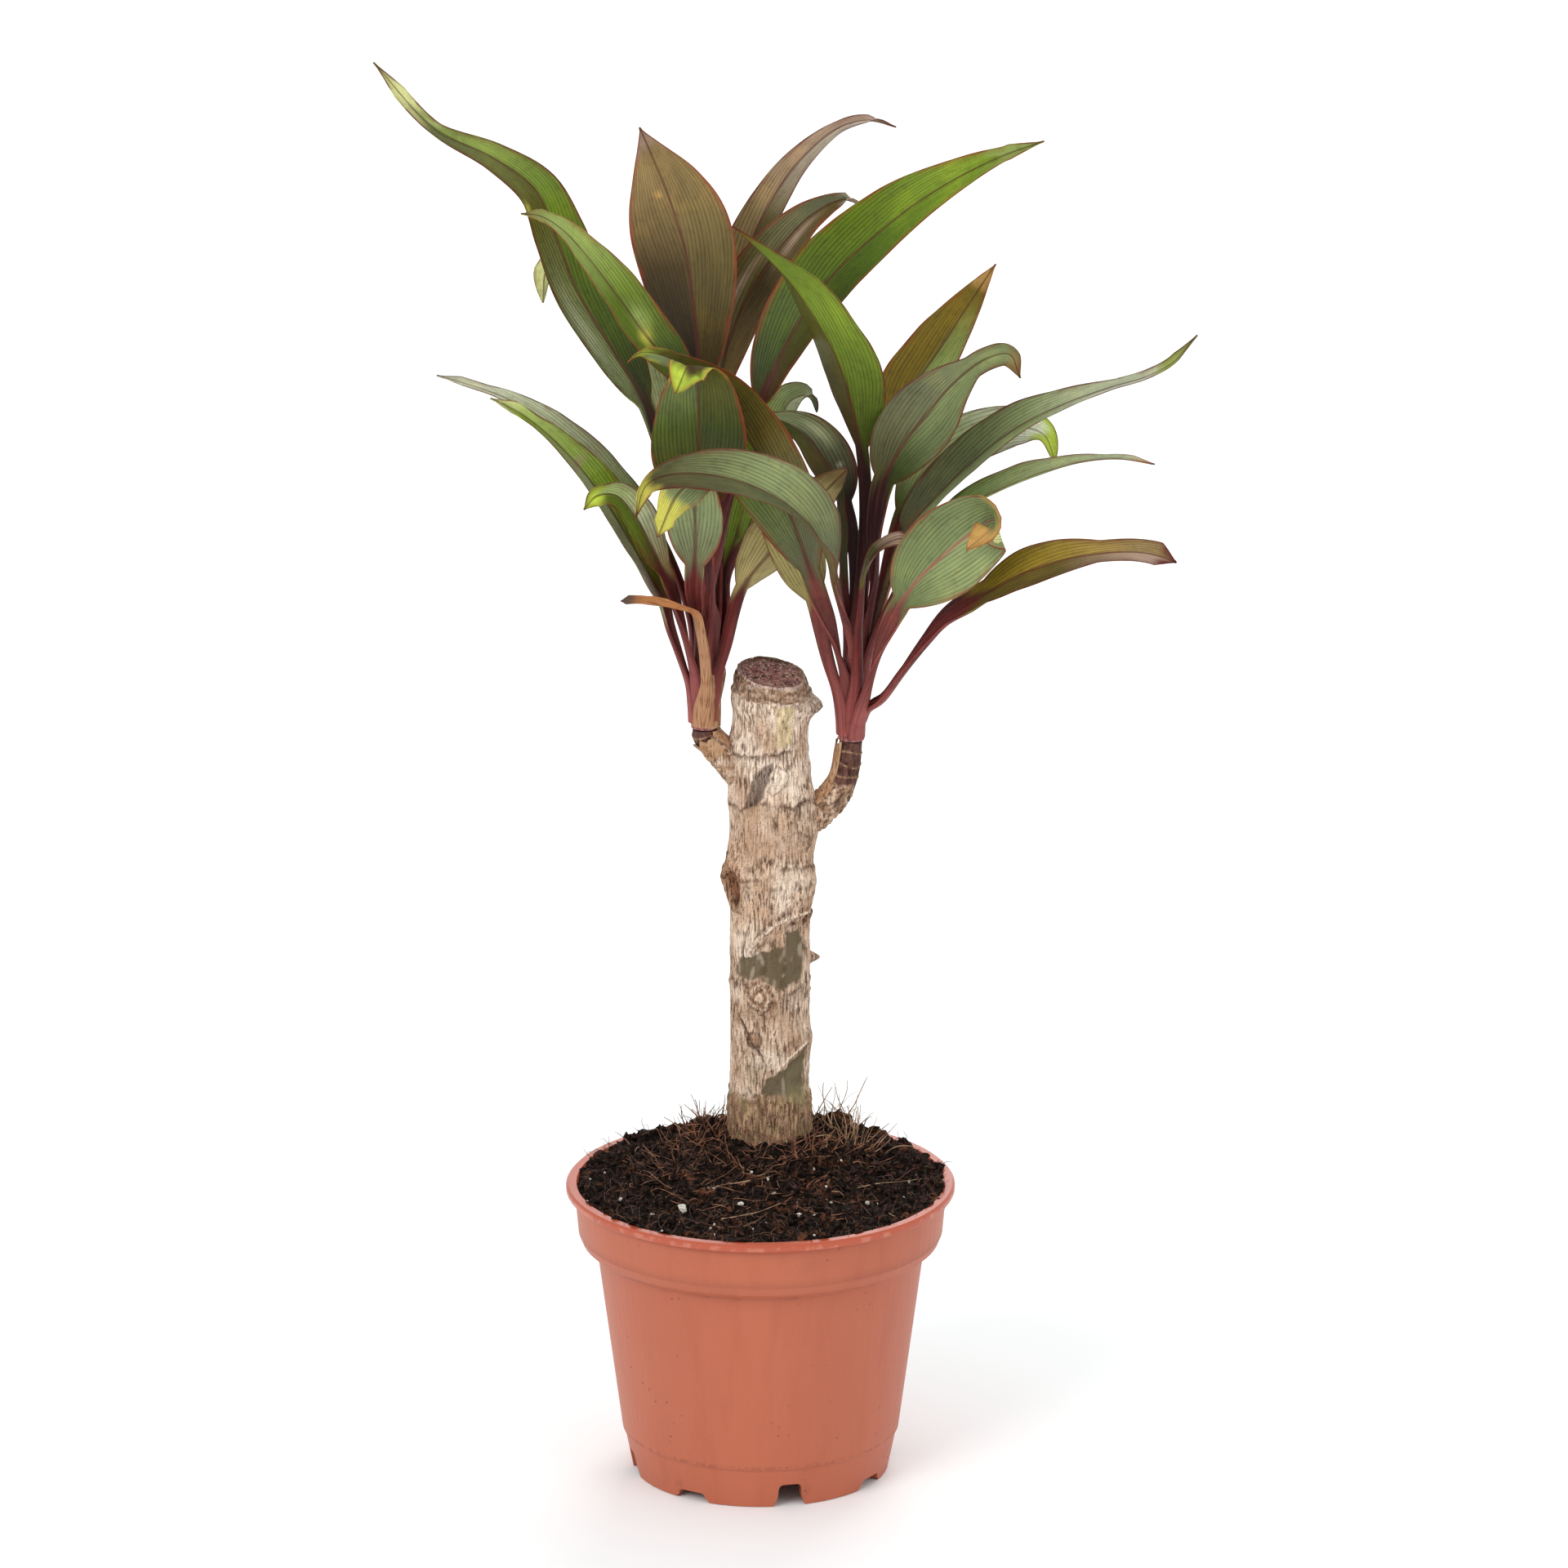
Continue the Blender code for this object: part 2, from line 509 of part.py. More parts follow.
def make_soil(look, plant):
    """Soil that fills the pot up to its clearance, with a plain round hole for the cane."""
    wall_levels = [SOIL_EDGE - 3.0, BAND_FOOT + 1.5, BAND_FOOT - 1.0, SHOULDER_FOOT]
    wall_levels += [POT_FLOOR_TOP + CLEARANCE]
    rows = [[] for _ in range(2 + SOIL_RINGS + len(wall_levels))]
    points = []
    for step in range(SOIL_RAYS):
        angle = 2 * math.pi * step / SOIL_RAYS
        direction = (math.cos(angle), math.sin(angle))
        reach = wall_distance(direction, pot_inner_radius(SOIL_EDGE) - CLEARANCE)
        column = [(HOLE_RADIUS, CANE_LEVELS[0] - CLEARANCE)]
        for ring in range(SOIL_RINGS + 1):
            share = (ring / SOIL_RINGS) ** 0.8  # the rings lie closer together towards the rim
            column.append((HOLE_RADIUS + (reach - HOLE_RADIUS) * share, None))
        for level in wall_levels:
            column.append((wall_distance(direction, pot_inner_radius(level) - CLEARANCE), level))
        for row, (distance, height) in zip(rows, column):
            x = CANE_X + distance * direction[0]
            y = CANE_Y + distance * direction[1]
            row.append(len(points))
            points.append((x, y, soil_height(x, y) if height is None else height))
    faces = []
    for row, following in zip(rows, rows[1:]):
        faces += ring_faces(row, following)
    faces += [tuple(rows[0]), tuple(reversed(rows[-1]))]
    outward(solid("soil", points, faces, look, plant))


def tube(name, path, radii, sides, look):
    """A round closed solid along a path, in flat rings across it."""
    path = np.array(path, float)
    tangents = np.gradient(path, axis=0)
    tangents /= np.linalg.norm(tangents, axis=1)[:, None]
    points = []
    across = np.array([1.0, 0.0, 0.0])
    for index, (place, tangent) in enumerate(zip(path, tangents)):
        across = across - tangent * (across @ tangent)
        across /= np.linalg.norm(across)
        along = np.cross(tangent, across)
        for step in range(sides):
            angle = 2 * math.pi * step / sides
            points.append(place + radii[index] * (math.cos(angle) * across + math.sin(angle) * along))
    rows = [list(range(i * sides, (i + 1) * sides)) for i in range(len(path))]
    faces = []
    for row, following in zip(rows, rows[1:]):
        faces += ring_faces(row, following)
    faces += [tuple(reversed(rows[0])), tuple(rows[-1])]
    made = solid(name, points, faces, look, None)
    outward(made)
    return made


def angle_apart(first, second):
    return abs((first - second + 180.0) % 360.0 - 180.0)


def cane_radius(height, degrees):
    """The bark's distance from the axis: a slight waist, long shallow ribs and the knots."""
    radius = CANE_RADIUS - 0.7 * math.exp(-(((height - 235.0) / 18.0) ** 2))
    radius += 0.22 * math.sin(math.radians(5 * degrees) + 0.02 * height)
    for place, direction, tall, wide, rise in CANE_KNOTS:
        fall = ((height - place) / tall) ** 2 + (angle_apart(degrees, direction) / wide) ** 2
        radius += rise * math.exp(-fall)
    return min(radius, BURIED_RADIUS) if height < BURIED_BELOW else radius


def make_cane(look, plant):
    """The cane with its two woody branch stubs, grown as one piece."""
    points = []
    rows = []
    for level in CANE_LEVELS + [CANE_TOP]:
        row = []
        for step in range(CANE_SEGMENTS):
            degrees = 360.0 * step / CANE_SEGMENTS
            radius = cane_radius(level, degrees) - (WORN_EDGE if level == CANE_TOP else 0.0)
            x = radius * math.cos(math.radians(degrees))
            y = radius * math.sin(math.radians(degrees))
            height = level
            if level == CANE_TOP:
                height += TOP_SLOPE_BACK * y + TOP_SLOPE_RIGHT * x
            row.append(len(points))
            points.append((CANE_X + CANE_LEAN * (height - CANE_LEAN_FROM) + x, CANE_Y + y, height))
        rows.append(row)
    faces = []
    for row, following in zip(rows, rows[1:]):
        faces += ring_faces(row, following)
    faces += [tuple(reversed(rows[0])), tuple(rows[-1])]
    cane = solid("cane", points, faces, look, None)
    outward(cane)
    branches = [
        tube("stub", LEFT_STUB, LEFT_STUB_RADII, STUB_SIDES, look),
        tube("stub", RIGHT_STUB, RIGHT_STUB_RADII, STUB_SIDES, look),
    ]
    apply_boolean(cane, "UNION", branches)
    soften(cane)
    cane.parent = plant


def spline(points, per_span=16):
    """A smooth curve through hand-set points: a centripetal Catmull-Rom, as dense points."""
    points = np.array(points, float)
    points = np.vstack([2 * points[0] - points[1], points, 2 * points[-1] - points[-2]])
    curve = []
    for i in range(1, len(points) - 2):
        p0, p1, p2, p3 = points[i - 1 : i + 3]
        t1 = np.linalg.norm(p1 - p0) ** 0.5
        t2 = t1 + np.linalg.norm(p2 - p1) ** 0.5
        t3 = t2 + np.linalg.norm(p3 - p2) ** 0.5
        for t in np.linspace(t1, t2, per_span, endpoint=False):
            a1 = (t1 - t) / t1 * p0 + t / t1 * p1
            a2 = (t2 - t) / (t2 - t1) * p1 + (t - t1) / (t2 - t1) * p2
            a3 = (t3 - t) / (t3 - t2) * p2 + (t - t2) / (t3 - t2) * p3
            b1 = (t2 - t) / t2 * a1 + t / t2 * a2
            b2 = (t3 - t) / (t3 - t1) * a2 + (t - t1) / (t3 - t1) * a3
            curve.append((t2 - t) / (t2 - t1) * b1 + (t - t1) / (t2 - t1) * b2)
    curve.append(points[-2])
    return np.array(curve)


def stations(curve, start, end, count, bend_weight=11.0):
    """Places along a dense curve, closer together where it bends."""
    part = curve[start : end + 1]
    steps = np.diff(part, axis=0)
    lengths = np.linalg.norm(steps, axis=1)
    headings = steps / lengths[:, None]
    bends = np.zeros(len(lengths))
    bends[1:] = np.arccos(np.clip((headings[1:] * headings[:-1]).sum(axis=1), -1, 1))
    measure = np.concatenate([[0.0], np.cumsum(lengths + bend_weight * bends)])
    where = np.interp(np.linspace(0, measure[-1], count), measure, np.arange(len(part)))
    return start + where


def blade_share(u, widest, base, point):
    """The blade's width at u, from its base at 0 to its tip at 1, as a share of the widest."""
    s = np.clip(u, 0.0, 1.0) ** (math.log(0.5) / math.log(widest))
    rise = np.maximum(np.sin(math.pi * s), 0.0)
    return np.where(s < 0.5, rise**base, rise**point)


def rooted_path(leaf, stem):
    """A leaf's whole route: off its stem, through its place in the crown, and on along its own points."""
    stem = np.array(stem, float)
    around = math.radians(leaf["around"])
    out = np.array([math.cos(around), math.sin(around), 0.0])
    height = stem[0, 2] + leaf["up"]
    seat = np.array([np.interp(height, stem[:, 2], stem[:, k]) for k in range(3)])
    seat += out * (np.interp(height, stem[:, 2], STEM_RADII) + CLEARANCE + PETIOLE_THICKNESS * 0.55)
    route = [np.array(point, float) for point in leaf["path"]]
    if leaf["ring"]:
        route = [stem[-1] + out * leaf["ring"] + np.array([0.0, 0.0, CROWN_RISE])] + route
    step = route[0] - seat
    step = step / np.linalg.norm(step)
    first = seat + (step + np.array([0.0, 0.0, 0.6])) * 3.0
    return [seat, first] + route


def leaf_surface(path, leaf, across, petiole_count, blade_count):
    """The middle surface of one leaf: a row of points for each station from its root to its tip.

    Also gives u, which is 0 at the blade's base and 1 at its tip.
    """
    per_span = 16
    curve = spline(path, per_span)
    blade_start = (leaf["blade"] + len(path) - len(leaf["path"])) * per_span
    places = np.concatenate([
        stations(curve, 0, blade_start, petiole_count + 1)[:-1],
        stations(curve, blade_start, len(curve) - 1, blade_count),
    ])
    dense = np.arange(len(curve))
    spots = np.stack([np.interp(places, dense, curve[:, k]) for k in range(3)], axis=1)
    slopes = np.gradient(curve, axis=0)
    tangents = np.stack([np.interp(places, dense, slopes[:, k]) for k in range(3)], axis=1)
    tangents /= np.linalg.norm(tangents, axis=1)[:, None]
    lengths = np.concatenate([[0.0], np.cumsum(np.linalg.norm(np.diff(curve, axis=0), axis=1))])
    travelled = np.interp(places, dense, lengths)
    u = (travelled - lengths[blade_start]) / (lengths[-1] - lengths[blade_start])
    v = np.clip(travelled / lengths[blade_start], 0.0, 1.0)

    middle = curve[(blade_start + len(curve)) // 2]
    heading = math.atan2(middle[1] - path[0][1], middle[0] - path[0][0])
    if "heading" in leaf:
        heading = math.radians(leaf["heading"])
    level_side = np.array([-math.sin(heading), math.cos(heading), 0.0])
    root_turn = (math.radians(leaf["around"]) - heading + math.pi) % (2 * math.pi) - math.pi
    base_turn, tip_turn = (math.radians(angle) for angle in leaf["turn"])
    whole = 2 * math.pi * round((root_turn - base_turn) / (2 * math.pi))
    base_turn += whole
    tip_turn += whole
    ease = v * v * (3 - 2 * v)
    along_blade = np.clip(u, 0.0, 1.0)
    stalk_turn = root_turn + (base_turn - root_turn) * ease
    turn = np.where(u < 0, stalk_turn, base_turn + (tip_turn - base_turn) * along_blade)

    sides = level_side - tangents * (tangents @ level_side)[:, None]
    sides /= np.linalg.norm(sides, axis=1)[:, None]
    ups = np.cross(tangents, sides)
    turned_sides = sides * np.cos(turn)[:, None] + ups * np.sin(turn)[:, None]
    turned_ups = ups * np.cos(turn)[:, None] - sides * np.sin(turn)[:, None]

    root_width, top_width = leaf.get("petiole", (ROOT_WIDTH, PETIOLE_WIDTH))
    petiole = (root_width + (top_width - root_width) * v) * np.clip((1.0 - u) * 12.0, 0.0, 1.0)
    share = blade_share(u, leaf.get("widest", 0.42), leaf.get("base", 0.9), leaf.get("point", 1.0))
    blade = np.where(u > 0, leaf["width"] * share, 0.0)
    width = np.maximum(np.maximum(petiole, blade), TIP_WIDTH)
    petiole_fold = math.radians(PETIOLE_FOLD)
    blade_fold = math.radians(leaf["fold"])
    fold = petiole_fold + (blade_fold - petiole_fold) * np.clip(u / 0.3, 0.0, 1.0)

    q = np.linspace(-1.0, 1.0, across)
    half = width[:, None] / 2
    sideways = half * q * np.cos(fold)[:, None]
    upwards = half * np.abs(q) ** 1.35 * np.sin(fold)[:, None]
    wave = leaf.get("wave", 0.0) * np.sin(math.pi * along_blade) * np.sin(5.0 * math.pi * along_blade)
    upwards = upwards + wave[:, None] * np.where(q < 0, 1.0, -0.7) * q**2
    grid = spots[:, None, :] + turned_sides[:, None, :] * sideways[..., None]
    grid = grid + turned_ups[:, None, :] * upwards[..., None]
    return grid, u


def surface_normals(grid):
    normals = np.cross(np.gradient(grid, axis=0), np.gradient(grid, axis=1))
    return normals / np.linalg.norm(normals, axis=2)[..., None]


def leaf_shell(grid, u, blade_thickness, petiole_thickness):
    """Points and triangles of the closed solid round a leaf's middle surface, split alike on both faces."""
    count, across = grid.shape[:2]
    q = np.linspace(-1.0, 1.0, across)
    settle = np.clip(u / 0.25, 0.0, 1.0)[:, None]
    centre = petiole_thickness + (blade_thickness - petiole_thickness) * settle
    edge = petiole_thickness * 0.6 + (MARGIN_THICKNESS - petiole_thickness * 0.6) * settle
    thickness = centre + (edge - centre) * q[None, :] ** 2
    offset = surface_normals(grid) * thickness[..., None] / 2
    points = np.concatenate([(grid + offset).reshape(-1, 3), (grid - offset).reshape(-1, 3)])
    under = count * across
    faces = []
    for i in range(count - 1):
        for j in range(across - 1):
            a = i * across + j
            b, c, d = a + 1, a + across + 1, a + across
            faces += [(a, b, c), (a, c, d)]
            faces += [(under + a, under + c, under + b), (under + a, under + d, under + c)]
        for a, d in ((i * across, (i + 1) * across), ((i + 2) * across - 1, (i + 1) * across - 1)):
            faces += [(a, d, under + d), (a, under + d, under + a)]
    for j in range(across - 1):
        near = j
        far = (count - 1) * across + j
        faces += [(near, under + near + 1, near + 1), (near, under + near, under + near + 1)]
        faces += [(far, far + 1, under + far + 1), (far, under + far + 1, under + far)]
    return points, faces


def make_leaf(name, leaf, stem, look, plant):
    """One leaf as a thin closed solid. A dry leaf is thin all along, its stalk too."""
    stalk_thickness = BLADE_THICKNESS if "dry" in name else PETIOLE_THICKNESS
    grid, u = leaf_surface(rooted_path(leaf, stem), leaf, POINTS_ACROSS, PETIOLE_STATIONS, BLADE_STATIONS)
    points, faces = leaf_shell(grid, u, BLADE_THICKNESS, stalk_thickness)
    outward(solid(name, points, faces, look, plant))


def settle(plant):
    """Puts the frame's origin under the middle of the plant's box, and turns millimetres into metres."""
    corners = np.array([vertex.co for piece in plant.children for vertex in piece.data.vertices])
    middle = (corners.min(axis=0) + corners.max(axis=0)) / 2
    plant.location = (-middle[0] * MM, -middle[1] * MM, 0.0)
    plant.scale = (MM, MM, MM)
    bpy.context.view_layer.update()


def main():
    clear_scene()
    plant = bpy.data.objects.new("plant", None)
    bpy.context.collection.objects.link(plant)
    terracotta = material("terracotta_plastic", (0.50, 0.20, 0.10), 0.45)
    peat = material("peat", (0.03, 0.02, 0.015), 0.95)
    bark = material("bark", (0.42, 0.31, 0.19), 0.85)
    flesh = material("shoot_flesh", (0.35, 0.12, 0.10), 0.5)
    green = material("leaf_green", (0.10, 0.20, 0.06), 0.4)
    straw = material("dry_leaf", (0.45, 0.27, 0.12), 0.8)
    make_pot(terracotta, plant)
    make_soil(peat, plant)
    make_cane(bark, plant)
    for name, stem in (("stem_left", LEFT_STEM), ("stem_right", RIGHT_STEM)):
        tube(name, stem, STEM_RADII, STEM_SIDES, flesh).parent = plant
    for leaves, stem in ((LEFT_LEAVES, LEFT_STEM), (RIGHT_LEAVES, RIGHT_STEM)):
        for name, leaf in leaves.items():
            make_leaf(name, leaf, stem, straw if "dry" in name else green, plant)
    settle(plant)


main()
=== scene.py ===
# %% [markdown]
# # A potted ti plant
# The plant is a sawn cane with two leafy side shoots in a tapered nursery pot. The CAD model, loaded
# here as a frame, settles where everything is. This notebook gives each part its looks: finer meshes
# where the plain solids are too coarse, and a procedural material for every surface. All sizes are in
# millimetres about the pot's own upright axis, and one helper turns them into Blender's metres.

# %% Load the frame
import math
from itertools import combinations

import bmesh
import bpy
import numpy as np
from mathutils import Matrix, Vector, noise


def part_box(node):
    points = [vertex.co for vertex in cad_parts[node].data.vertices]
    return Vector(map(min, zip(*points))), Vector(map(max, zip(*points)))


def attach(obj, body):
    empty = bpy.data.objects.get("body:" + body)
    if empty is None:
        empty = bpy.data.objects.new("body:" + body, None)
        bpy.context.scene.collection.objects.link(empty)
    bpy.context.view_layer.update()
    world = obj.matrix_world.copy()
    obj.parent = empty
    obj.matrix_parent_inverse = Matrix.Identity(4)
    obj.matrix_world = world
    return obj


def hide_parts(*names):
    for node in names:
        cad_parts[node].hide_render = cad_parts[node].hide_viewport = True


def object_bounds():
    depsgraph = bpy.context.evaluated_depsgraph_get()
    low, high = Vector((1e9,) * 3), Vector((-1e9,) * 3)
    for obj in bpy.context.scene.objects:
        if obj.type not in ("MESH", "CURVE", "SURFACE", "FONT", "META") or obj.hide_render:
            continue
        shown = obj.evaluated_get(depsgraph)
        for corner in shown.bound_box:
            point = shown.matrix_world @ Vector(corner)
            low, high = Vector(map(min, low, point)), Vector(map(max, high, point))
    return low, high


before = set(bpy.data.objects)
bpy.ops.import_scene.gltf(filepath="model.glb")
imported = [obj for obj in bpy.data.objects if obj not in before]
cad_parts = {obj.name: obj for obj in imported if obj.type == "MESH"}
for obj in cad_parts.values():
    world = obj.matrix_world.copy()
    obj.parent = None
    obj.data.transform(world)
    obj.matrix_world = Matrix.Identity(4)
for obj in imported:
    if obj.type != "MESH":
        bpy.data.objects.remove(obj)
cad_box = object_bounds()
MM = 0.001
pot_low, pot_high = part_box("pot")
POT_AXIS = np.array([(pot_low[0] + pot_high[0]) / 2, (pot_low[1] + pot_high[1]) / 2, 0.0])
print("nodes:", len(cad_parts), "pot axis at", POT_AXIS.round(4))

# %% [markdown]
# ## Helpers for meshes
# Every visible piece is a grid of points worked out by a formula, which Blender takes straight from
# lists of points and faces. A modifier stack could make some of them, but a formula keeps the place of
# each point along and across the piece, and the materials need that later for veins, rings and tips.
# Such a fact is stored on the mesh as an attribute, and a material reads it back by its name.

# %% From points to a piece
def face_outwards(mesh):
    """Turns a closed mesh's faces outwards."""
    shape = bmesh.new()
    shape.from_mesh(mesh)
    bmesh.ops.recalc_face_normals(shape, faces=shape.faces)
    shape.to_mesh(mesh)
    shape.free()


def add_piece(name, points, faces, finish, nodes=(), facts=None, closed=True, sharp=50.0):
    """A piece that rides on the root body, kept inside the CAD box. facts: a value or colour a point."""
    low, high = np.array(cad_box[0]), np.array(cad_box[1])
    places = np.clip(np.asarray(points) * MM + POT_AXIS, low, high)
    mesh = bpy.data.meshes.new(name)
    mesh.from_pydata(places.tolist(), [], [list(face) for face in faces])
    for fact, values in (facts or {}).items():
        values = np.asarray(values, np.float32)
        if values.ndim == 2:
            mesh.attributes.new(fact, "FLOAT_COLOR", "POINT").data.foreach_set("color", values.ravel())
        else:
            mesh.attributes.new(fact, "FLOAT", "POINT").data.foreach_set("value", values)
    if closed:
        face_outwards(mesh)
    mesh.materials.append(finish)
    mesh.shade_smooth()
    mesh.set_sharp_from_angle(angle=math.radians(sharp))
    made = bpy.data.objects.new(name, mesh)
    bpy.context.collection.objects.link(made)
    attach(made, "root")
    if nodes:
        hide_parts(*nodes)
    print(name, len(mesh.polygons), "faces")


# %% Grids
def grid_faces(rows, columns, closed=False, start=0):
    """Quads between rows of points. closed joins the last column to the first."""
    row = np.arange(rows - 1)[:, None] * columns
    column = np.arange(columns if closed else columns - 1)[None, :]
    following = (column + 1) % columns
    corners = [row + column, row + following, row + columns + following, row + columns + column]
    return (np.stack(np.broadcast_arrays(*corners), axis=-1).reshape(-1, 4) + start).tolist()


def joined(parts):
    """One list of points and one of faces from several (points, faces) pairs."""
    points, faces, count = [], [], 0
    for some_points, some_faces in parts:
        points.append(np.asarray(some_points, float))
        faces += [[corner + count for corner in face] for face in some_faces]
        count += len(some_points)
    return np.concatenate(points), faces


def shell(outer, inner):
    """A closed skin between two sheets of points."""
    rows, columns = outer.shape[:2]
    count = rows * columns
    faces = grid_faces(rows, columns)
    faces += [face[::-1] for face in grid_faces(rows, columns, start=count)]
    for i in range(rows - 1):
        for near, far in ((i * columns, (i + 1) * columns), ((i + 2) * columns - 1, (i + 1) * columns - 1)):
            faces.append([near, far, count + far, count + near])
    ends = (range(columns), range(count - columns, count))
    faces += [list(end) + [corner + count for corner in reversed(end)] for end in ends]
    return np.concatenate([outer.reshape(-1, 3), inner.reshape(-1, 3)]), faces


# %% Curves
def spline(points, per_span):
    """A smooth curve through given points: a centripetal Catmull-Rom, as so many points a span."""
    points = np.array(points, float)
    points = np.vstack([2 * points[0] - points[1], points, 2 * points[-1] - points[-2]])
    curve = []
    for i in range(1, len(points) - 2):
        p0, p1, p2, p3 = points[i - 1 : i + 3]
        t1 = np.linalg.norm(p1 - p0) ** 0.5
        t2 = t1 + np.linalg.norm(p2 - p1) ** 0.5
        t3 = t2 + np.linalg.norm(p3 - p2) ** 0.5
        for t in np.linspace(t1, t2, per_span, endpoint=False):
            a1 = (t1 - t) / t1 * p0 + t / t1 * p1
            a2 = (t2 - t) / (t2 - t1) * p1 + (t - t1) / (t2 - t1) * p2
            a3 = (t3 - t) / (t3 - t2) * p2 + (t - t2) / (t3 - t2) * p3
            b1 = (t2 - t) / t2 * a1 + t / t2 * a2
            b2 = (t3 - t) / (t3 - t1) * a2 + (t - t1) / (t3 - t1) * a3
            curve.append((t2 - t) / (t2 - t1) * b1 + (t - t1) / (t2 - t1) * b2)
    curve.append(points[-2])
    return np.array(curve)


def run_along(path):
    """How far along a path each of its points is."""
    return np.concatenate([[0.0], np.cumsum(np.linalg.norm(np.diff(path, axis=0), axis=1))])


def read_off(at, marks, values):
    """Rows of values, each known at its own mark, read off at other marks."""
    return np.stack([np.interp(at, marks, column) for column in np.array(values, float).T], axis=-1)


# %% Tubes
def ring_frames(path):
    """The direction of a path at each of its points, and two directions across it that never spin."""
    tangents = np.gradient(path, axis=0)
    tangents /= np.linalg.norm(tangents, axis=1)[:, None]
    across = np.array([1.0, 0.0, 0.0]) if abs(tangents[0][0]) < 0.9 else np.array([0.0, 1.0, 0.0])
    sides = []
    for tangent in tangents:
        across = across - tangent * (across @ tangent)
        across = across / np.linalg.norm(across)
        sides.append(across)
    sides = np.array(sides)
    return tangents, sides, np.cross(tangents, sides)


def tube(path, radii, sides):
    """A round closed tube along a path. radii is one number a point, or one a point and side."""
    path = np.asarray(path, float)
    radii = np.asarray(radii, float)
    if radii.ndim == 1:
        radii = np.repeat(radii[:, None], sides, axis=1)
    tangents, first, second = ring_frames(path)
    turn = np.linspace(0, 2 * math.pi, sides, endpoint=False)
    rings = np.cos(turn)[None, :, None] * first[:, None, :] + np.sin(turn)[None, :, None] * second[:, None, :]
    points = path[:, None, :] + rings * radii[..., None]
    last = (len(path) - 1) * sides
    faces = grid_faces(len(path), sides, closed=True)
    faces += [list(reversed(range(sides))), list(range(last, last + sides))]
    return points.reshape(-1, 3), faces


# %% Numbers that vary
def lumps(points, size, seed):
    """Smooth noise from about -1 to 1 at each point. size is how far apart its lumps are."""
    places = np.asarray(points, float) / np.asarray(size, float) + np.array([17.3, 5.1, 29.7]) * (seed + 1.0)
    shape = places.shape[:-1]
    return np.array([noise.noise(place) for place in places.reshape(-1, 3).tolist()]).reshape(shape)


def ease(value, low, high):
    """0 below low, 1 above high, and a smooth curve between them."""
    share = np.clip((np.asarray(value, float) - low) / (high - low), 0.0, 1.0)
    return share * share * (3 - 2 * share)


def shade(red, green, blue):
    """A colour in linear light from its values on screen, 0 to 255."""
    return tuple(((value / 255 + 0.055) / 1.055) ** 2.4 for value in (red, green, blue)) + (1.0,)


def painted(under, *layers):
    """One colour a point: the colours under, covered in turn by each layer's colour where its mask says."""
    for over, mask in layers:
        mask = np.asarray(mask, float)[..., None]
        under = np.asarray(under, float) * (1 - mask) + np.asarray(over, float) * mask
    return under


# %% [markdown]
# ## Helpers for materials
# A material is a tree of nodes. Wiring each one by hand hides the sum behind the plumbing, so a small
# class stands for one output socket and knows how to add, multiply and compare. Then a mask reads as
# plain arithmetic, and each operation still becomes an ordinary Math node that can be opened and edited.

# %% A socket that does sums
class Wire:
    """A node's output. A sum on wires adds Math nodes, so that 1 - mask reads as it is meant."""

    def __init__(self, tree, socket):
        self.tree = tree
        self.socket = socket

    def node(self, kind, settings, inputs, out=0):
        """A new node of the same tree: its settings first, then a value or a wire for each socket."""
        made = self.tree.nodes.new(kind)
        for key, value in (settings or {}).items():
            setattr(made, key, value)
        for key, value in (inputs or {}).items():
            if isinstance(value, Wire):
                self.tree.links.new(value.socket, made.inputs[key])
            else:
                made.inputs[key].default_value = value
        return Wire(self.tree, made.outputs[out])

    def math(self, operation, first, second=0.0):
        return self.node("ShaderNodeMath", {"operation": operation}, {0: first, 1: second})

    def __add__(self, other):
        return self.math("ADD", self, other)

    def __sub__(self, other):
        return self.math("SUBTRACT", self, other)

    def __rsub__(self, other):
        return self.math("SUBTRACT", other, self)

    def __mul__(self, other):
        return self.math("MULTIPLY", self, other)

    def __mod__(self, other):
        return self.math("FLOORED_MODULO", self, other)

    def __abs__(self):
        return self.math("ABSOLUTE", self)

    __radd__ = __add__
    __rmul__ = __mul__

    def step(self, low, high):
        """0 below low, 1 above high, and a smooth curve between them."""
        inputs = {"Value": self, "From Min": low, "From Max": high}
        return self.node("ShaderNodeMapRange", {"interpolation_type": "SMOOTHSTEP"}, inputs)

    def noise(self, scale, detail=4.0):
        """Noise read at this place. scale is in lumps to the place's own unit."""
        inputs = {"Vector": self, "Scale": scale, "Detail": detail}
        return self.node("ShaderNodeTexNoise", None, inputs, "Fac")

    def specks(self, scale):
        """How far this place is from the nearest of many scattered points."""
        return self.node("ShaderNodeTexVoronoi", None, {"Vector": self, "Scale": scale}, "Distance")

    def drawn_out(self, x, y, z):
        """This place with its axes scaled, so that a texture read there is drawn out."""
        return self.node("ShaderNodeVectorMath", {"operation": "MULTIPLY"}, {0: self, 1: (x, y, z)})


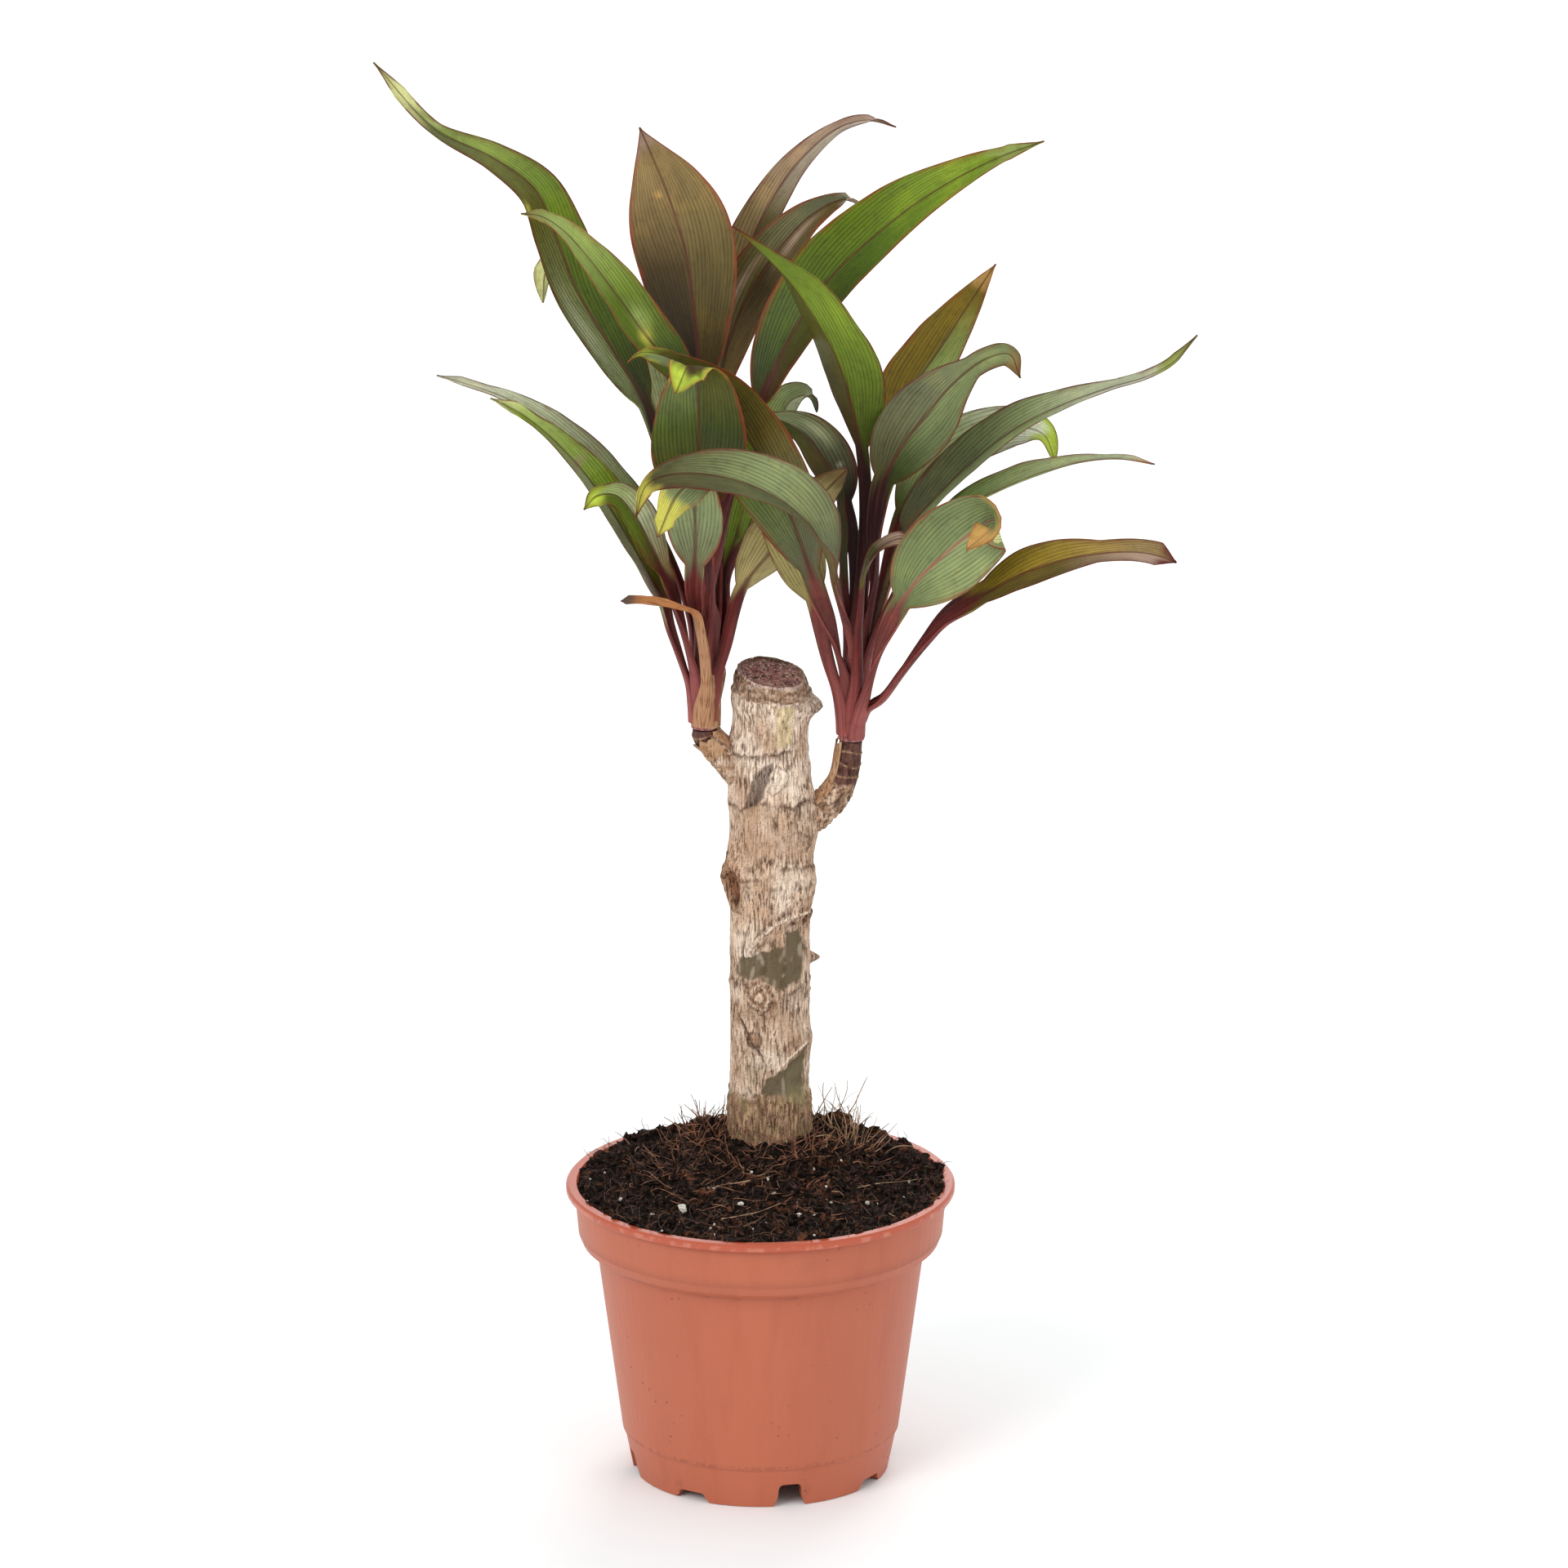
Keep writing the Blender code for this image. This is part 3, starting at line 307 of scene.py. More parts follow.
# %% A finish to build with it
class Finish:
    """A Principled material, and the ways to get wires in it and put them to use."""

    def __init__(self, name, **constants):
        self.material = bpy.data.materials.new(name)
        self.material.use_nodes = True
        tree = self.material.node_tree
        self.tree = tree
        self.shader = tree.nodes["Principled BSDF"]
        for key, value in constants.items():
            self.shader.inputs[key.replace("_", " ")].default_value = value
        self.place = self.make("ShaderNodeTexCoord", out="Object")

    def make(self, kind, settings=None, inputs=None, out=0):
        """A new node that starts from no wire."""
        return Wire(self.tree, None).node(kind, settings, inputs, out)

    def fact(self, name, out="Fac"):
        """What the mesh holds at each point under this name."""
        return self.make("ShaderNodeAttribute", {"attribute_name": name}, None, out)

    def height(self):
        """How high a place is, in metres."""
        return self.make("ShaderNodeSeparateXYZ", None, {0: self.place}, "Z")

    def mix(self, under, over, factor, how="MIX"):
        """Two colours, each plain or a wire, mixed by a factor."""
        settings = {"data_type": "RGBA", "blend_type": how}
        return self.make("ShaderNodeMix", settings, {0: factor, 6: under, 7: over}, 2)

    def layered(self, under, *layers):
        """A colour covered in turn by layers: each a colour, its factor, and how it mixes if not plainly."""
        for over, factor, *how in layers:
            under = self.mix(under, over, factor, *how)
        return under

    def bump(self, relief, depth_mm):
        """A normal from a relief between 0 and 1."""
        return self.make("ShaderNodeBump", None, {"Height": relief, "Distance": depth_mm * MM})

    def wear(self, **wires):
        """Links wires to the shader's sockets, and gives the material."""
        for key, wire in wires.items():
            self.tree.links.new(wire.socket, self.shader.inputs[key.replace("_", " ")])
        print("finish", self.material.name, "of", len(self.tree.nodes), "nodes")
        return self.material


# %% [markdown]
# ## Camera, light and floor
# The photograph was taken from a few metres away through a long lens, looking slightly down. The
# camera stands there. A white studio is a bright even surround with one large soft lamp to the front
# left, a weaker one to the right and one behind, which is why the leaves show soft sheens but hardly
# any shadow. The floor is a wide pale disc.

# %% Camera
EYE = np.array([7.3, -3435.3, 1298.6])  # about the pot's axis
LOOK_DOWN = 17.4  # degrees
LENS = 269.0
SENSOR_WIDTH = 36.0
FAR_LIMIT = 30.0  # metres

bpy.context.scene.view_settings.view_transform = "Standard"
lens = bpy.data.cameras.new("camera")
lens.lens = LENS
lens.sensor_width = SENSOR_WIDTH
lens.clip_end = FAR_LIMIT
camera = bpy.data.objects.new("camera", lens)
camera.location = EYE * MM + POT_AXIS
camera.rotation_euler = (math.radians(90 - LOOK_DOWN), 0, 0)
bpy.context.collection.objects.link(camera)
bpy.context.scene.camera = camera
print("camera at", camera.location)

# %% Light
LIT_MIDDLE = Vector((0, 0, 0.22))
SURROUND_STRENGTH = 0.85


def soft_lamp(name, place, size, power):
    """A square area lamp that faces the plant: its place and size in metres, its power in watts."""
    light = bpy.data.lights.new(name, "AREA")
    light.size = size
    light.energy = power
    lamp = bpy.data.objects.new(name, light)
    lamp.location = place
    lamp.rotation_euler = (LIT_MIDDLE - Vector(place)).to_track_quat("-Z", "Y").to_euler()
    bpy.context.collection.objects.link(lamp)


soft_lamp("key", (-1.3, -1.7, 1.5), 1.1, 26.0)
soft_lamp("fill", (1.7, -1.2, 0.8), 1.2, 8.0)
soft_lamp("back", (0.5, 1.9, 1.6), 1.4, 22.0)
world = bpy.data.worlds.new("studio")
world.use_nodes = True
surround = world.node_tree.nodes["Background"]
surround.inputs["Color"].default_value = (1.0, 1.0, 1.0, 1.0)
surround.inputs["Strength"].default_value = SURROUND_STRENGTH
bpy.context.scene.world = world
print("lamps:", len(bpy.data.lights))

# %% Floor
FLOOR_RADIUS = 9.0  # metres
FLOOR_COOL = (0.88, 0.91, 0.915, 1)
FLOOR_PALE = (0.90, 0.93, 0.935, 1)

floor_finish = Finish("floor_white", Roughness=0.9)
floor_cloud = floor_finish.place.noise(3.0)
floor_finish.wear(Base_Color=floor_finish.mix(FLOOR_COOL, FLOOR_PALE, floor_cloud))
just_under = (0, 0, -0.0002)
bpy.ops.mesh.primitive_circle_add(vertices=96, radius=FLOOR_RADIUS, fill_type="NGON", location=just_under)
floor = bpy.context.object
floor.name = "floor"
floor.data.materials.append(floor_finish.material)

# %% [markdown]
# ## The pot
# A nursery pot is injection moulded in one shot of terracotta-coloured plastic. The CAD solid already
# has its lip, band, taper and notched foot, so it stays and only gets a finish: a satin orange-brown
# skin with faint flow marks, a redder and glossier lip with paler worn spots, a darker wall inside that
# is painted shade with some dirt, darker broken lines along the ridge near the foot and under the
# shoulder, and crumbs of dirt where soil has touched it. Most masks are steps in height or in the
# distance from the pot's axis, since a moulded pot ages by its rims and rings, and the shade inside it
# follows them too.

# %% Pot colours and places
CLAY_BODY = shade(177, 96, 68)
CLAY_DARK = shade(160, 78, 52)
CLAY_LIP = shade(172, 78, 53)
CLAY_INNER_SHADE_AND_DIRT = shade(108, 56, 40)
CLAY_WORN = shade(222, 168, 148)
DIRT = shade(70, 46, 34)
# Heights and distances from the axis, in metres: one for a groove, two where one tone gives way to another.
RIDGE_HEIGHT = 0.0137
SHOULDER_HEIGHT = 0.0728
LIP_HEIGHTS = (0.0885, 0.0905)
SOIL_SIDE_HEIGHTS = (0.077, 0.078)
WALL_RADII = (0.0561, 0.0569)
LIP_EDGE_RADII = (0.0600, 0.0604)

# %% Pot finish
clay = Finish("terracotta", Specular_IOR_Level=0.4)
height = clay.height()
flow = clay.place.drawn_out(1, 1, 0.5).noise(22.0, 3.0)
streaks_down = clay.place.drawn_out(1, 1, 0.12).noise(160.0, 4.0)
grain = clay.place.noise(2600.0, 2.0)
from_axis = clay.make("ShaderNodeVectorMath", {"operation": "SUBTRACT"}, {0: clay.place, 1: tuple(POT_AXIS)})
from_axis = clay.make("ShaderNodeVectorMath", {"operation": "LENGTH"}, {0: from_axis.drawn_out(1, 1, 0)}, 1)
lip = height.step(*LIP_HEIGHTS)
# inner_wall: the inside of the wall above the soil, painted darker: painted shade with some dirt.
inner_wall = (1 - from_axis.step(*WALL_RADII)) * height.step(*SOIL_SIDE_HEIGHTS)
worn = from_axis.step(*LIP_EDGE_RADII) * lip * clay.place.noise(260.0, 4.0).step(0.48, 0.62)
# Darker broken lines along the ridge near the foot and just under the shoulder.
in_ridge = 1 - abs(height - RIDGE_HEIGHT).step(0.0002, 0.0009)
under_shoulder = 1 - abs(height - SHOULDER_HEIGHT).step(0.0002, 0.0016)
ridge_darkening = in_ridge * clay.place.noise(700.0, 5.0).step(0.42, 0.62)
shoulder_darkening = under_shoulder * clay.place.noise(180.0, 5.0).step(0.52, 0.64)
smear = clay.place.noise(70.0, 5.0).step(0.6, 0.75)
specks = (1 - clay.place.specks(260.0).step(0.05, 0.14)) * clay.place.noise(40.0).step(0.52, 0.66)
low_dirt = (1 - height.step(0.004, 0.02)) * smear
high_dirt = height.step(0.07, 0.095) * smear
# dirt: dark specks and smears near the base and rim, together with the darker lines along the ridge and under
# the shoulder.
dirt = (specks + ridge_darkening * 0.35 + shoulder_darkening * 0.3 + low_dirt * 0.4 + high_dirt * 0.2) * 0.75
tone = clay.layered(
    CLAY_BODY,
    (CLAY_DARK, flow.step(0.3, 0.8) * 0.4 + streaks_down.step(0.45, 0.75) * 0.25),
    (CLAY_LIP, lip * 0.85),
    # The inner wall darkened: painted shade, with some dirt.
    (CLAY_INNER_SHADE_AND_DIRT, inner_wall * 0.85),
    (CLAY_WORN, worn * 0.2),
    (DIRT, dirt),
)
gloss = 0.42 + grain * 0.10 + dirt * 0.3 - lip * 0.16
clay.wear(Base_Color=tone, Roughness=gloss, Normal=clay.bump(grain * 0.5 + dirt * 0.4, 0.05))
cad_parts["pot"].material_slots[0].material = clay.material

# %% [markdown]
# ## The soil
# Potting soil is peat: near-black crumbs and short fibres, with a few white grains of perlite. Its
# surface is a fine sheet that follows the CAD soil's mound and is roughened by noise of three sizes.
# Loose crumbs, grains and roots lie on it as small solids of their own, because only real silhouettes
# against the white studio look like soil.

# %% Where the soil's surface is
CANE_X = 2.6
CANE_Y = 20.0
SOIL_EDGE = 91.0
SOIL_MOUND = 14.0
MOUND_SPREAD = 27.0
SOIL_REACH = 57.6  # onto the lip's inner edge, so that no gap shows
SOIL_HOLE = 9.5  # inside the bark, so that no gap shows there either
SOIL_ROUGHNESS = [(1.6, 6.0), (1.2, 2.6), (0.7, 1.2)]  # how high and how far apart its lumps are
# Small heaps: x, y, how far each spreads and how high it rises.
SOIL_CLUMPS = [
    (-17.0, 24.0, 7.0, 5.0),
    (24.0, 30.0, 8.0, 6.0),
    (20.0, 2.0, 9.0, 2.0),
    (-28.0, 2.0, 9.0, 1.5),
    (2.0, 47.0, 9.0, 3.0),
    (-6.0, -20.0, 10.0, 1.2),
    (40.0, -8.0, 9.0, 1.5),
]


def soil_height(x, y):
    """The height of the soil: heaped round the cane, with clumps, and rough with crumbs."""
    x, y = np.asarray(x, float), np.asarray(y, float)
    height = SOIL_EDGE + SOIL_MOUND * np.exp(-((np.hypot(x - CANE_X, y - CANE_Y) / MOUND_SPREAD) ** 2))
    for clump_x, clump_y, spread, rise in SOIL_CLUMPS:
        height += rise * np.exp(-((np.hypot(x - clump_x, y - clump_y) / spread) ** 2))
    height += 0.9 * np.sin(0.41 * x + 1.3) * np.cos(0.37 * y - 0.4)
    height += 1.3 * ease(np.hypot(x, y), 47.0, 55.0)
    flat = np.stack([x, y, np.zeros_like(x)], axis=-1)
    return height + sum(rise * lumps(flat, size, seed) for seed, (rise, size) in enumerate(SOIL_ROUGHNESS, 1))


# %% Soil finish
PEAT_DARK = shade(15, 10, 8)
PEAT_BROWN = shade(58, 39, 30)
PEAT_RUST = shade(116, 72, 48)
PEAT_DRIED = (2.3, 2.0, 1.8, 1)  # how much lighter the driest crumbs are

peat = Finish("peat", Roughness=0.95, Specular_IOR_Level=0.12)
crumb = peat.place.noise(700.0, 5.0)
tone = peat.layered(
    PEAT_DARK,
    (PEAT_BROWN, crumb.step(0.44, 0.68)),
    (PEAT_DRIED, peat.fact("age") * 0.8, "MULTIPLY"),
    (PEAT_RUST, peat.place.noise(120.0, 4.0).step(0.54, 0.68) * crumb.step(0.4, 0.6) * 0.6),
)
peat.wear(Base_Color=tone, Normal=peat.bump(peat.place.noise(1500.0, 6.0), 0.5))

# %% Soil surface
RAYS = 220
RINGS = 80
turn = np.linspace(0, 2 * math.pi, RAYS, endpoint=False)
beside_x, beside_y = np.cos(turn), np.sin(turn)
along = CANE_X * beside_x + CANE_Y * beside_y
reach = -along + np.sqrt(along**2 - CANE_X**2 - CANE_Y**2 + SOIL_REACH**2)
share = np.linspace(0, 1, RINGS)[:, None]
distance = SOIL_HOLE + (reach - SOIL_HOLE) * share
x = CANE_X + distance * beside_x
y = CANE_Y + distance * beside_y
points = np.stack([x, y, soil_height(x, y)], axis=-1).reshape(-1, 3)
faces = [face[::-1] for face in grid_faces(RINGS, RAYS, closed=True)]
add_piece("soil_surface", points, faces, peat.material, ["soil"], closed=False, sharp=80)

# %% How many crumbs
CRUMBS = 3000
CRUMB_SIZES = [0.45, 0.75, 1.15, 1.7]
SIZE_SHARES = [0.42, 0.35, 0.17, 0.06]
CLUMP_CRUMBS = 90
HEAP_CRUMBS = 60
PERLITE_GRAINS = 60
# The grains that stand out in the photograph: x, y and size.
BIG_GRAINS = [(-23.8, -26.0, 2.0), (-6.0, -26.0, 1.0), (12.0, -30.0, 0.9), (33.0, -20.0, 0.8)]
print("crumbs:", CRUMBS + 3 * CLUMP_CRUMBS + HEAP_CRUMBS, "and grains:", PERLITE_GRAINS + len(BIG_GRAINS))

# %% The shape of a crumb
GOLDEN = (1 + 5**0.5) / 2

rng = np.random.default_rng(11)
BALL = np.array([(s, t * GOLDEN, 0) for s in (-1, 1) for t in (-1, 1)], float)
BALL = np.concatenate([BALL, np.roll(BALL, 1, axis=1), np.roll(BALL, 2, axis=1)]) / math.hypot(1, GOLDEN)
gaps = np.linalg.norm(BALL[:, None] - BALL[None], axis=2).round(3)
near = gaps == gaps[gaps > 0].min()
BALL_FACES = [
    (i, j, k) for i, j, k in combinations(range(len(BALL)), 3) if near[i, j] and near[j, k] and near[i, k]
]


def crumb_at(x, y, size, sink=0.2):
    """One jagged crumb that rests on the soil: a ball of 12 points, each pushed in or out."""
    stretch = rng.uniform(0.6, 1.3, 3) * size
    points = BALL * rng.uniform(0.65, 1.2, (len(BALL), 1)) * stretch
    return points + (x, y, float(soil_height(x, y)) + stretch[2] * (0.6 - sink)), BALL_FACES


def scatter(count, low=13.0, high=57.0):
    """Random places on the soil, clear of the cane."""
    places = []
    while len(places) < count:
        x, y = rng.uniform(-high, high, 2)
        if math.hypot(x, y) < high and math.hypot(x - CANE_X, y - CANE_Y) > low:
            places.append((x, y))
    return places


# %% Crumbs
crumbs = [crumb_at(x, y, rng.choice(CRUMB_SIZES, p=SIZE_SHARES)) for x, y in scatter(CRUMBS)]
for clump_x, clump_y, spread, rise in SOIL_CLUMPS[:3]:
    for _ in range(CLUMP_CRUMBS):
        x, y = rng.normal((clump_x, clump_y), spread * 0.5)
        crumbs.append(crumb_at(x, y, rng.uniform(0.5, 1.4)))
for _ in range(HEAP_CRUMBS):
    x, y = rng.normal((26, 14), (4.5, 4.0))
    crumbs.append(crumb_at(x, y, rng.uniform(1.0, 2.4)))
points, faces = joined(crumbs)
age = np.repeat(rng.uniform(0, 1, len(crumbs)) ** 2.2, len(BALL))
add_piece("soil_crumbs", points, faces, peat.material, (), {"age": age}, sharp=20)

# %% Perlite
perlite = Finish("perlite", Roughness=0.8)
pitted = perlite.place.noise(1800.0, 4.0)
tone = perlite.mix(shade(222, 218, 208), shade(140, 128, 112), pitted.step(0.45, 0.62) * 0.8)
perlite.wear(Base_Color=tone, Normal=perlite.bump(pitted, 0.3))
grains = [crumb_at(x, y, rng.uniform(0.3, 0.75), -0.1) for x, y in scatter(PERLITE_GRAINS)]
grains += [crumb_at(x, y, size, -0.1) for x, y, size in BIG_GRAINS]
points, faces = joined(grains)
add_piece("soil_perlite", points, faces, perlite.material, sharp=60)

# %% [markdown]
# ## Roots and fibres
# Rusty root hairs stand up beside the cane, straw-coloured ones in a tuft behind it on the right, and
# a few pale strands lie across the peat. Hair particles could make them, but a few hundred thin tubes
# along random walks are real mesh and never change from run to run.

# %% Root fibres
def strand(start, heading, length, thick, bend):
    """A thin tube from a start, wandering from its heading."""
    heading = np.asarray(heading, float) / np.linalg.norm(heading)
    places = [np.asarray(start, float)]
    for _ in range(5):
        heading = heading + rng.normal(0, bend, 3)
        heading /= np.linalg.norm(heading)
        places.append(places[-1] + heading * length / 5)
    path = spline(places, 2)
    return tube(path, np.linspace(thick, thick * 0.45, len(path)), 4)


def settled(strands):
    """The strands' points, none of them under the soil's surface by more than a little."""
    points, faces = joined(strands)
    floor_height = soil_height(points[:, 0], points[:, 1]) - 0.2
    inside = np.hypot(points[:, 0], points[:, 1]) < 57
    points[:, 2] = np.where(inside, np.maximum(points[:, 2], floor_height), points[:, 2])
    return points, faces


def on_soil(x, y, lift):
    """A place on the soil's surface, or a lift above it."""
    return x, y, float(soil_height(x, y)) + lift


def tuft(middle, spread, count, rise, length, bend):
    """Strands that stand out of a place."""
    strands = []
    for _ in range(count):
        x, y = rng.normal(middle, spread)
        out = np.array([(x - middle[0]) / spread * 0.5, (y - middle[1]) / spread * 0.5, rise])
        heading = out + rng.normal(0, 0.35, 3)
        long, thick = rng.uniform(*length), rng.uniform(0.1, 0.26)
        strands.append(strand(on_soil(x, y, -0.3), heading, long, thick, bend))
    return strands


def root_finish(name, dark, light):
    """Dry root: two browns in bands along it."""
    root = Finish(name, Roughness=0.75)
    band = root.place.noise(260.0, 3.0)
    return root.wear(Base_Color=root.mix(dark, light, band.step(0.35, 0.65)), Normal=root.bump(band, 0.1))


# %% Strands on the soil
LYING_RUSTY = 120
LYING_STRAW = 18
LYING_DARK = 700

rusty = tuft((-15, 22), 5.5, 100, 0.8, (5, 11), 0.12)
rusty += tuft((-26, 14), 7.0, 60, 0.4, (4, 10), 0.15)
rusty += tuft((0, 4), 8.0, 80, 0.4, (4, 12), 0.15)
rusty += tuft((15, 7), 5.0, 50, 0.7, (4, 11), 0.15)
for x, y in scatter(LYING_RUSTY, 14.0, 40.0):
    lie = (*rng.normal(0, 1, 2), rng.uniform(0, 0.4))
    rusty.append(strand(on_soil(x, y, 0.4), lie, rng.uniform(4, 12), 0.18, 0.15))
straw = tuft((28, 22), 3.5, 45, 1.1, (6, 15), 0.14)
straw += tuft((20, 32), 5.0, 25, 1.1, (7, 17), 0.14)
for x, y, turn in ((-12, -33, -8), (-14, -14, 22), (30, -10, 24)):
    lie = (math.cos(math.radians(turn)), math.sin(math.radians(turn)), 0.08)
    straw.append(strand(on_soil(x, y, 0.7), lie, 19.0, 0.2, 0.10))
for x, y in scatter(LYING_STRAW):
    lie = (*rng.normal(0, 1, 2), 0.1)
    straw.append(strand(on_soil(x, y, 0.5), lie, rng.uniform(4, 11), 0.15, 0.4))
threads = []
for x, y in scatter(LYING_DARK):
    lie = (*rng.normal(0, 1, 2), rng.uniform(0, 0.7))
    threads.append(strand(on_soil(x, y, 0.2), lie, rng.uniform(2.5, 8), 0.14, 0.45))
for name, strands, finish in (
    ("roots_rust", rusty, root_finish("rust_root", shade(74, 42, 30), shade(158, 106, 76))),
    ("roots_straw", straw, root_finish("straw_root", shade(112, 80, 56), shade(190, 156, 122))),
    ("roots_dark", threads, root_finish("dark_root", shade(50, 34, 27), shade(104, 72, 54))),
):
    points, faces = settled(strands)
    add_piece(name, points, faces, finish)

# %% [markdown]
# ## The cane
# The cane is an old stem cut to length. Its bark is pale beige with fine upright cracks, and it keeps
# the scars of old leaves as sloping ledges, a few dormant buds, a swirled knot, and patches where the
# bark has come off and the green under it shows. A sculpted mesh would need thousands of strokes. Here
# the bark is one grid round an axis, and each feature has a place in degrees round it and millimetres
# up it, pushes the grid in or out, and paints it.

# %% The cane's swellings
CANE_RADIUS = 12.2
CANE_LEAN = 0.006
CANE_LEAN_FROM = 100.0
CANE_TOP = 251.9
CANE_FOOT = 88.0
WORN_EDGE = 1.2
TOP_SLOPE_BACK = 0.16
TOP_SLOPE_RIGHT = -0.15
# Height, direction in degrees (0 is +X, 270 the front), spread in height and in degrees, and rise.
CANE_KNOTS = [
    (104.0, 290.0, 9.0, 360.0, 0.5),
    (191.0, 205.0, 8.0, 28.0, 2.2),
    (184.0, 330.0, 8.0, 26.0, 2.2),
    (186.0, 270.0, 4.0, 200.0, 0.8),
    (166.0, 255.0, 9.0, 60.0, 0.7),
    (148.0, 262.0, 6.0, 22.0, 1.0),
    (133.0, 345.0, 5.0, 30.0, 1.0),
    (214.0, 160.0, 9.0, 45.0, 1.2),
    (227.0, 182.0, 7.0, 36.0, 1.5),
    (205.0, 350.0, 11.0, 40.0, 3.0),
    (241.0, 10.0, 3.6, 20.0, 4.2),
    (243.0, 200.0, 3.0, 360.0, 0.7),
    (222.0, 270.0, 2.5, 360.0, 0.5),
    (232.0, 100.0, 4.0, 60.0, 1.0),
    (150.0, 90.0, 10.0, 60.0, 1.2),
    (120.0, 130.0, 8.0, 40.0, 0.9),
]
ROUND = 200
LEVELS = 330

degrees = np.linspace(0, 360, ROUND, endpoint=False)[None, :] + np.zeros((LEVELS, 1))
level = np.linspace(CANE_FOOT, CANE_TOP, LEVELS)[:, None] + np.zeros((1, ROUND))


def apart(first, second):
    """How many degrees lie from one direction to another, from -180 to 180."""
    return (first - second + 180.0) % 360.0 - 180.0


radius = CANE_RADIUS - 0.7 * np.exp(-(((level - 235.0) / 18.0) ** 2))
radius += 0.22 * np.sin(np.radians(5 * degrees) + 0.02 * level)
for place, direction, tall, wide, rise in CANE_KNOTS:
    radius += rise * np.exp(-(((level - place) / tall) ** 2) - (apart(degrees, direction) / wide) ** 2)
radius -= WORN_EDGE * ease(level, 249.0, CANE_TOP)
print("cane radius", radius.min().round(1), "to", radius.max().round(1))

# %% Bark colours and relief
BARK = shade(212, 184, 160)
BARK_PALE = shade(236, 216, 197)
BARK_WARM = shade(174, 137, 108)
BARK_BROWN = shade(108, 80, 62)
CRACK = shade(78, 54, 42)
SCAR_LINE = shade(98, 68, 52)

around_x = CANE_RADIUS * np.cos(np.radians(degrees))
around_y = CANE_RADIUS * np.sin(np.radians(degrees))
bark_place = np.stack([around_x, around_y, level], axis=-1)
tint = np.zeros(degrees.shape + (4,)) + BARK


def rough_bark(size, seed):
    """Noise over the bark, from about -1 to 1. size is how far apart its lumps are."""
    return lumps(bark_place, size, seed)


def patchy(size, seed, low, high):
    """A mask of patches over the bark: 0 where its noise is below low, 1 where it is above high."""
    return ease(rough_bark(size, seed), low, high)


def stroke(tone, mask):
    """Lays a tone over the bark where a mask says."""
    tint[:] = painted(tint, (tone, mask))


streaks = rough_bark((1.0, 1.0, 7.0), 4)
relief = 0.16 * streaks + 0.12 * rough_bark((0.7, 0.7, 3.0), 5) + 0.16 * rough_bark(1.6, 7)
cracks = ease(streaks, 0.28, 0.5) * patchy((6.0, 6.0, 12.0), 8, 0.0, 0.3)
relief -= 0.45 * cracks
stroke(BARK_PALE, patchy(9.0, 6, -0.15, 0.35) * 0.7)
stroke(BARK_PALE, ease(level, 205.0, 225.0) * 0.6)
stroke(BARK_WARM, patchy((9.0, 9.0, 14.0), 9, 0.0, 0.4) * 0.65)
stroke(BARK_WARM, 0.55 * (1 - ease(level, 203.0, 218.0)) * ease(level, 186.0, 198.0))
stroke(BARK_BROWN, patchy((1.5, 1.5, 3.0), 10, 0.25, 0.55) * 0.55)
stroke(CRACK, cracks * 0.7)
print("bark relief", relief.min().round(2), "to", relief.max().round(2))

# %% Leaf scars
# Each scar is a ledge: its points in degrees and height, and how far the bark under it stands out.
SCARS = [
    ([(150, 228), (200, 227), (252, 228), (280, 229), (320, 230), (362, 228)], 0.5),
    ([(150, 214), (180, 211), (222, 210), (251, 213), (276, 213), (304, 211), (320, 213), (362, 208)], 0.9),
    ([(195, 197), (203, 191), (224, 188), (245, 188), (276, 191), (305, 192), (335, 191), (362, 190)], 0.7),
    ([(232, 157), (237, 160), (250, 166), (265, 170), (293, 173), (336, 175), (362, 176)], 1.2),
    ([(150, 153), (180, 153), (228, 155), (258, 148), (281, 150), (306, 151.5), (337, 153), (362, 154)], 1.0),
    ([(217, 143), (231, 139), (255, 132), (262, 129)], 0.4),
    ([(190, 115), (239, 118), (263, 118), (282, 116), (307, 118), (340, 114), (362, 115)], 0.8),
    ([(362, 206), (400, 202), (450, 204), (510, 212)], 0.7),
    ([(362, 180), (400, 177), (450, 174), (520, 182)], 0.7),
    ([(362, 150), (420, 146), (470, 148), (530, 154)], 0.8),
    ([(362, 128), (420, 124), (470, 128), (530, 134)], 0.6),
]
for number, (points, rise) in enumerate(SCARS):
    around, up = np.array(points, float).T
    line = np.interp((degrees - around[0]) % 360.0 + around[0], around, up, left=0, right=0)
    line = line + 0.9 * rough_bark((3.0, 3.0, 50.0), 12) + 0.5 * rough_bark((1.1, 1.1, 50.0), 13)
    below = line - level
    fade = np.clip(below, 0, None)
    broken = patchy((2.6, 2.6, 40.0), 60 + number, -0.35, 0.15)
    near = np.exp(-((below / 0.45) ** 2)) * broken
    hooks = patchy((0.8, 0.8, 30.0), 80 + number, 0.25, 0.5) * np.exp(-fade / 1.6)
    ledge = ease(below, -0.4, 0.4) * np.exp(-fade / 1.5) * (0.4 + 0.6 * broken)
    relief += rise * ledge - 0.5 * near
    stroke(BARK_BROWN, 0.55 * ledge)
    stroke(SCAR_LINE, 0.8 * near + 0.3 * hooks * ease(below, -0.2, 0.2) * broken)
print("leaf scars:", len(SCARS))


# %% Places on the bark
def spot(direction, height, wide, tall):
    """The distance from a place on the bark: 1 on an oval that is wide and tall millimetres from it."""
    across = np.radians(apart(degrees, direction)) * CANE_RADIUS
    return np.hypot(across / wide, (level - height) / tall)


